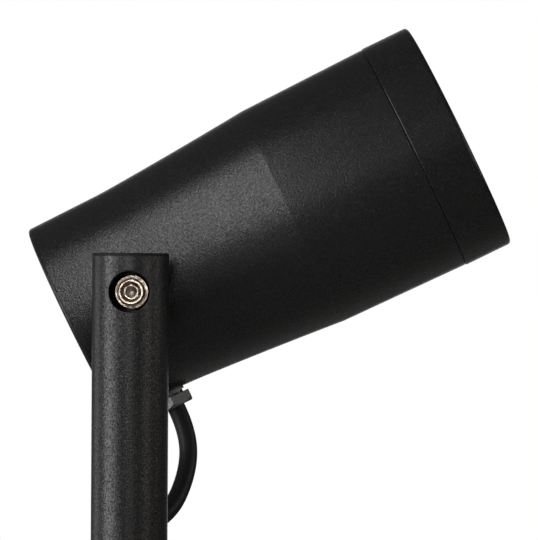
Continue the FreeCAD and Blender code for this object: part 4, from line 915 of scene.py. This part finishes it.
# %% Cut the nut
NUT_CORNER_RADIUS = 8.083
NUT_START, NUT_END = 41.05, 45.35
nut = turned(
    "hexagon_nut", [(NUT_CORNER_RADIUS, NUT_START), (NUT_CORNER_RADIUS, NUT_END)], sides=6
)
chamfer = turned("chamfer_tool", [(9.6, 40.9), (9.6, 42.42), (6.45, 45.5)], sides=96)
shape_with(nut, chamfer, "INTERSECT")
nut_bore = turned("nut_bore_tool", [(3.45, 40), (3.45, 47)], sides=48)
shape_with(nut, nut_bore, "DIFFERENCE")
thread_bore = turned("thread_bore_tool", [(5.05, 40), (5.05, 44.15)], sides=64)
shape_with(nut, thread_bore, "DIFFERENCE")
break_edges(nut, 0.15, steps=3)
finish_surface(nut, 25)
put(nut, HEAD_PLACE @ GLAND_AXIS)
hand_over(nut, "head", nickel, "nickel", "gland_nut")

# %% [markdown]
# ## Reflector and light
# Behind the glass sits a bright faceted bowl round a small light board. The facets are flat on
# purpose: a turned bowl with few sides and flat shading gives them, and its filled ends are taken
# out again. The board is a white square with a yellow round emitter and a raised ring round it.

# %% Faceted bowl
BOWL_BACK_RADIUS, BOWL_FRONT_RADIUS = 11.9, 37.0
BOWL_BACK, BOWL_DEPTH = 72.6, 53.0
BOWL_STEPS = 10
BOWL_WALL = 0.8
bowl_rings = []
for step in range(BOWL_STEPS + 1):
    radius = BOWL_BACK_RADIUS + (BOWL_FRONT_RADIUS - BOWL_BACK_RADIUS) * step / BOWL_STEPS
    share = (radius**2 - BOWL_BACK_RADIUS**2) / (BOWL_FRONT_RADIUS**2 - BOWL_BACK_RADIUS**2)
    bowl_rings.append((radius, BOWL_BACK + BOWL_DEPTH * share))
bowl = turned("faceted_bowl", bowl_rings, sides=30)
bpy.ops.object.mode_set(mode="EDIT")
bpy.ops.mesh.select_mode(type="FACE")
bpy.ops.mesh.select_all(action="DESELECT")
bpy.ops.object.mode_set(mode="OBJECT")
for face in bowl.data.polygons:
    face.select = len(face.vertices) > 4
bpy.ops.object.mode_set(mode="EDIT")
bpy.ops.mesh.delete(type="ONLY_FACE")
bpy.ops.mesh.select_all(action="SELECT")
bpy.ops.mesh.flip_normals()
bpy.ops.object.mode_set(mode="OBJECT")
wall = bowl.modifiers.new("wall", "SOLIDIFY")
wall.thickness = BOWL_WALL * MM
wall.offset = -1
bpy.ops.object.modifier_apply(modifier=wall.name)
bpy.ops.object.shade_flat()
put(bowl, HEAD_PLACE)
hand_over(bowl, "head", reflector_bright, "reflector_bright", "reflector")

# %% Light board
BOARD_WIDTH, BOARD_THICKNESS, BOARD_MIDDLE = 24, 1.2, 66.6
BOARD_TOP = 67.2
clear_selection()
bpy.ops.mesh.primitive_cube_add(
    size=1,
    location=(0, 0, BOARD_MIDDLE * MM),
    scale=(BOARD_WIDTH * MM, BOARD_WIDTH * MM, BOARD_THICKNESS * MM),
)
board = bpy.context.object
board.name = "light_board"
bpy.ops.object.transform_apply(location=True, rotation=True, scale=True)
break_edges(board, 0.3)
finish_surface(board)
put(board, HEAD_PLACE)
hand_over(board, "head", white_plastic, "white_plastic", "light_chip")
emitter = turned("light_emitter", [(9, BOARD_TOP), (9, 67.65), (8.7, 67.8)], sides=96)
finish_surface(emitter)
put(emitter, HEAD_PLACE)
hand_over(emitter, "head", phosphor, "phosphor")
DAM_INNER, DAM_OUTER, DAM_TOP = 9.0, 9.6, 67.9
dam_section = [
    (DAM_INNER, BOARD_TOP),
    (DAM_OUTER, BOARD_TOP),
    (DAM_OUTER, DAM_TOP),
    (DAM_INNER, DAM_TOP),
]
dam = turned("light_dam", dam_section, sides=96, shut=True)
round_ring(dam, DAM_OUTER, DAM_TOP, size=0.2, steps=2)
finish_surface(dam)
put(dam, HEAD_PLACE)
hand_over(dam, "head", white_plastic, "white_plastic")

# %% [markdown]
# ## Ground spike
# The spike is a casting too: a socket with a ground flange, four gussets, and two crossed blades
# that narrow to a point. Each blade is a block whose lower end is extruded and narrowed twice; the
# coat and the mould leave every edge a little round.

# %% Socket and flange
FLANGE_RADIUS, FLANGE_TOP = 37, 4
SOCKET_RADIUS, SOCKET_TOP = 19, 44
SOCKET_BORE = 14.05
GRUB_HEIGHT = 31
DRAIN_CIRCLE = 9.5
socket_section = [
    (FLANGE_RADIUS, 0),
    (FLANGE_RADIUS, FLANGE_TOP),
    (SOCKET_RADIUS, FLANGE_TOP),
    (SOCKET_RADIUS, SOCKET_TOP),
    (SOCKET_BORE, SOCKET_TOP),
    (SOCKET_BORE, POST_FOOT),
]
socket = turned("spike_socket", socket_section, sides=128)
round_ring(socket, FLANGE_RADIUS, FLANGE_TOP, size=1.0, steps=3)
round_ring(socket, SOCKET_RADIUS, SOCKET_TOP, size=1.0, steps=3)
round_ring(socket, FLANGE_RADIUS, 0, size=0.4, steps=2)
round_ring(socket, SOCKET_RADIUS, FLANGE_TOP, size=1.6, steps=4)
for side in (-1, 1):
    drill = turned("grub_tool", [(3.0, 10), (3.0, 22)], sides=48)
    sideways = Matrix.Rotation(side * math.pi / 2, 4, "Y")
    put(drill, Matrix.Translation((0, 0, GRUB_HEIGHT * MM)) @ sideways)
    shape_with(socket, drill, "DIFFERENCE")
for quarter in range(4):
    turn = math.radians(45 + 90 * quarter)
    drill = turned("drain_tool", [(2.25, -5), (2.25, 10)], sides=40)
    away = DRAIN_CIRCLE * MM
    put(drill, Matrix.Translation((away * math.cos(turn), away * math.sin(turn), 0)))
    shape_with(socket, drill, "DIFFERENCE")
finish_surface(socket)
print("socket:", len(socket.data.polygons), "faces")

# %% Blades
BLADE_WIDTH, BLADE_THICKNESS = 46, 3.6
BLADE_TOP = -0.5
BLADE_NARROWS = ((13.06, -178), (0.8, -200))


def spike_blade(name, turn):
    """One flat blade through the axis, 46 mm wide at the flange, with a point 200 mm below it."""
    clear_selection()
    bpy.ops.mesh.primitive_cube_add(
        size=1, location=(0, 0, 0.5 * MM), scale=(BLADE_WIDTH * MM, BLADE_THICKNESS * MM, 2 * MM)
    )
    blade = bpy.context.object
    blade.name = name
    bpy.ops.object.transform_apply(location=True, rotation=True, scale=True)
    bpy.ops.object.mode_set(mode="EDIT")
    bpy.ops.mesh.select_mode(type="FACE")
    bpy.ops.mesh.select_all(action="DESELECT")
    bpy.ops.object.mode_set(mode="OBJECT")
    for face in blade.data.polygons:
        face.select = face.normal.z < -0.9
    bpy.ops.object.mode_set(mode="EDIT")
    level, width = BLADE_TOP, BLADE_WIDTH
    for next_width, next_level in BLADE_NARROWS:
        bpy.ops.mesh.extrude_region_move(
            TRANSFORM_OT_translate={"value": (0, 0, (next_level - level) * MM)}
        )
        bpy.ops.transform.resize(
            value=(next_width / width, 1, 1), center_override=(0, 0, next_level * MM)
        )
        width, level = next_width, next_level
    bpy.ops.object.mode_set(mode="OBJECT")
    put(blade, Matrix.Rotation(turn, 4, "Z"))
    break_edges(blade, 0.6, steps=3)
    finish_surface(blade)
    return blade


blades = [spike_blade("blade_across", 0), spike_blade("blade_along", math.pi / 2)]
core = turned("blade_core", [(5.5, 1), (2.0, -178), (0.6, -186)], sides=48)
finish_surface(core)
print("blades:", [len(blade.data.polygons) for blade in blades], "faces")

# %% Gussets, and all as one casting
WEB_START = 16
WEB_LENGTH, WEB_TOP_LENGTH = 17, 3
WEB_THICKNESS = 3
WEB_FOOT, WEB_FOOT_HEIGHT = 3.5, 3
WEB_RISE, WEB_TOP = 21, 26


def gusset(name, turn):
    """A triangular web between the flange and the socket."""
    clear_selection()
    bpy.ops.mesh.primitive_cube_add(
        size=1,
        location=((WEB_START + WEB_LENGTH / 2) * MM, 0, WEB_FOOT * MM),
        scale=(WEB_LENGTH * MM, WEB_THICKNESS * MM, WEB_FOOT_HEIGHT * MM),
    )
    web = bpy.context.object
    web.name = name
    bpy.ops.object.transform_apply(location=True, rotation=True, scale=True)
    bpy.ops.object.mode_set(mode="EDIT")
    bpy.ops.mesh.select_mode(type="FACE")
    bpy.ops.mesh.select_all(action="DESELECT")
    bpy.ops.object.mode_set(mode="OBJECT")
    for face in web.data.polygons:
        face.select = face.normal.z > 0.9
    bpy.ops.object.mode_set(mode="EDIT")
    bpy.ops.mesh.extrude_region_move(TRANSFORM_OT_translate={"value": (0, 0, WEB_RISE * MM)})
    narrower = WEB_TOP_LENGTH / WEB_LENGTH
    bpy.ops.transform.resize(
        value=(narrower, 1, 1), center_override=(WEB_START * MM, 0, WEB_TOP * MM)
    )
    bpy.ops.object.mode_set(mode="OBJECT")
    put(web, Matrix.Rotation(turn, 4, "Z"))
    break_edges(web, 0.5, steps=3)
    finish_surface(web)
    return web


webs = [gusset(f"gusset_{number}", number * math.pi / 2) for number in range(4)]
clear_selection()
for part in (socket, core, *blades, *webs):
    part.select_set(True)
bpy.context.view_layer.objects.active = socket
bpy.ops.object.join()
spike = bpy.context.object
spike.name = "cast_spike"
hand_over(spike, "spike", cast_black, "cast_black", "ground_spike")

# %% [markdown]
# ## View transform
# The render shows its colours through the Standard view transform.

# %% View transform
scene = bpy.context.scene
scene.view_settings.view_transform = "Standard"
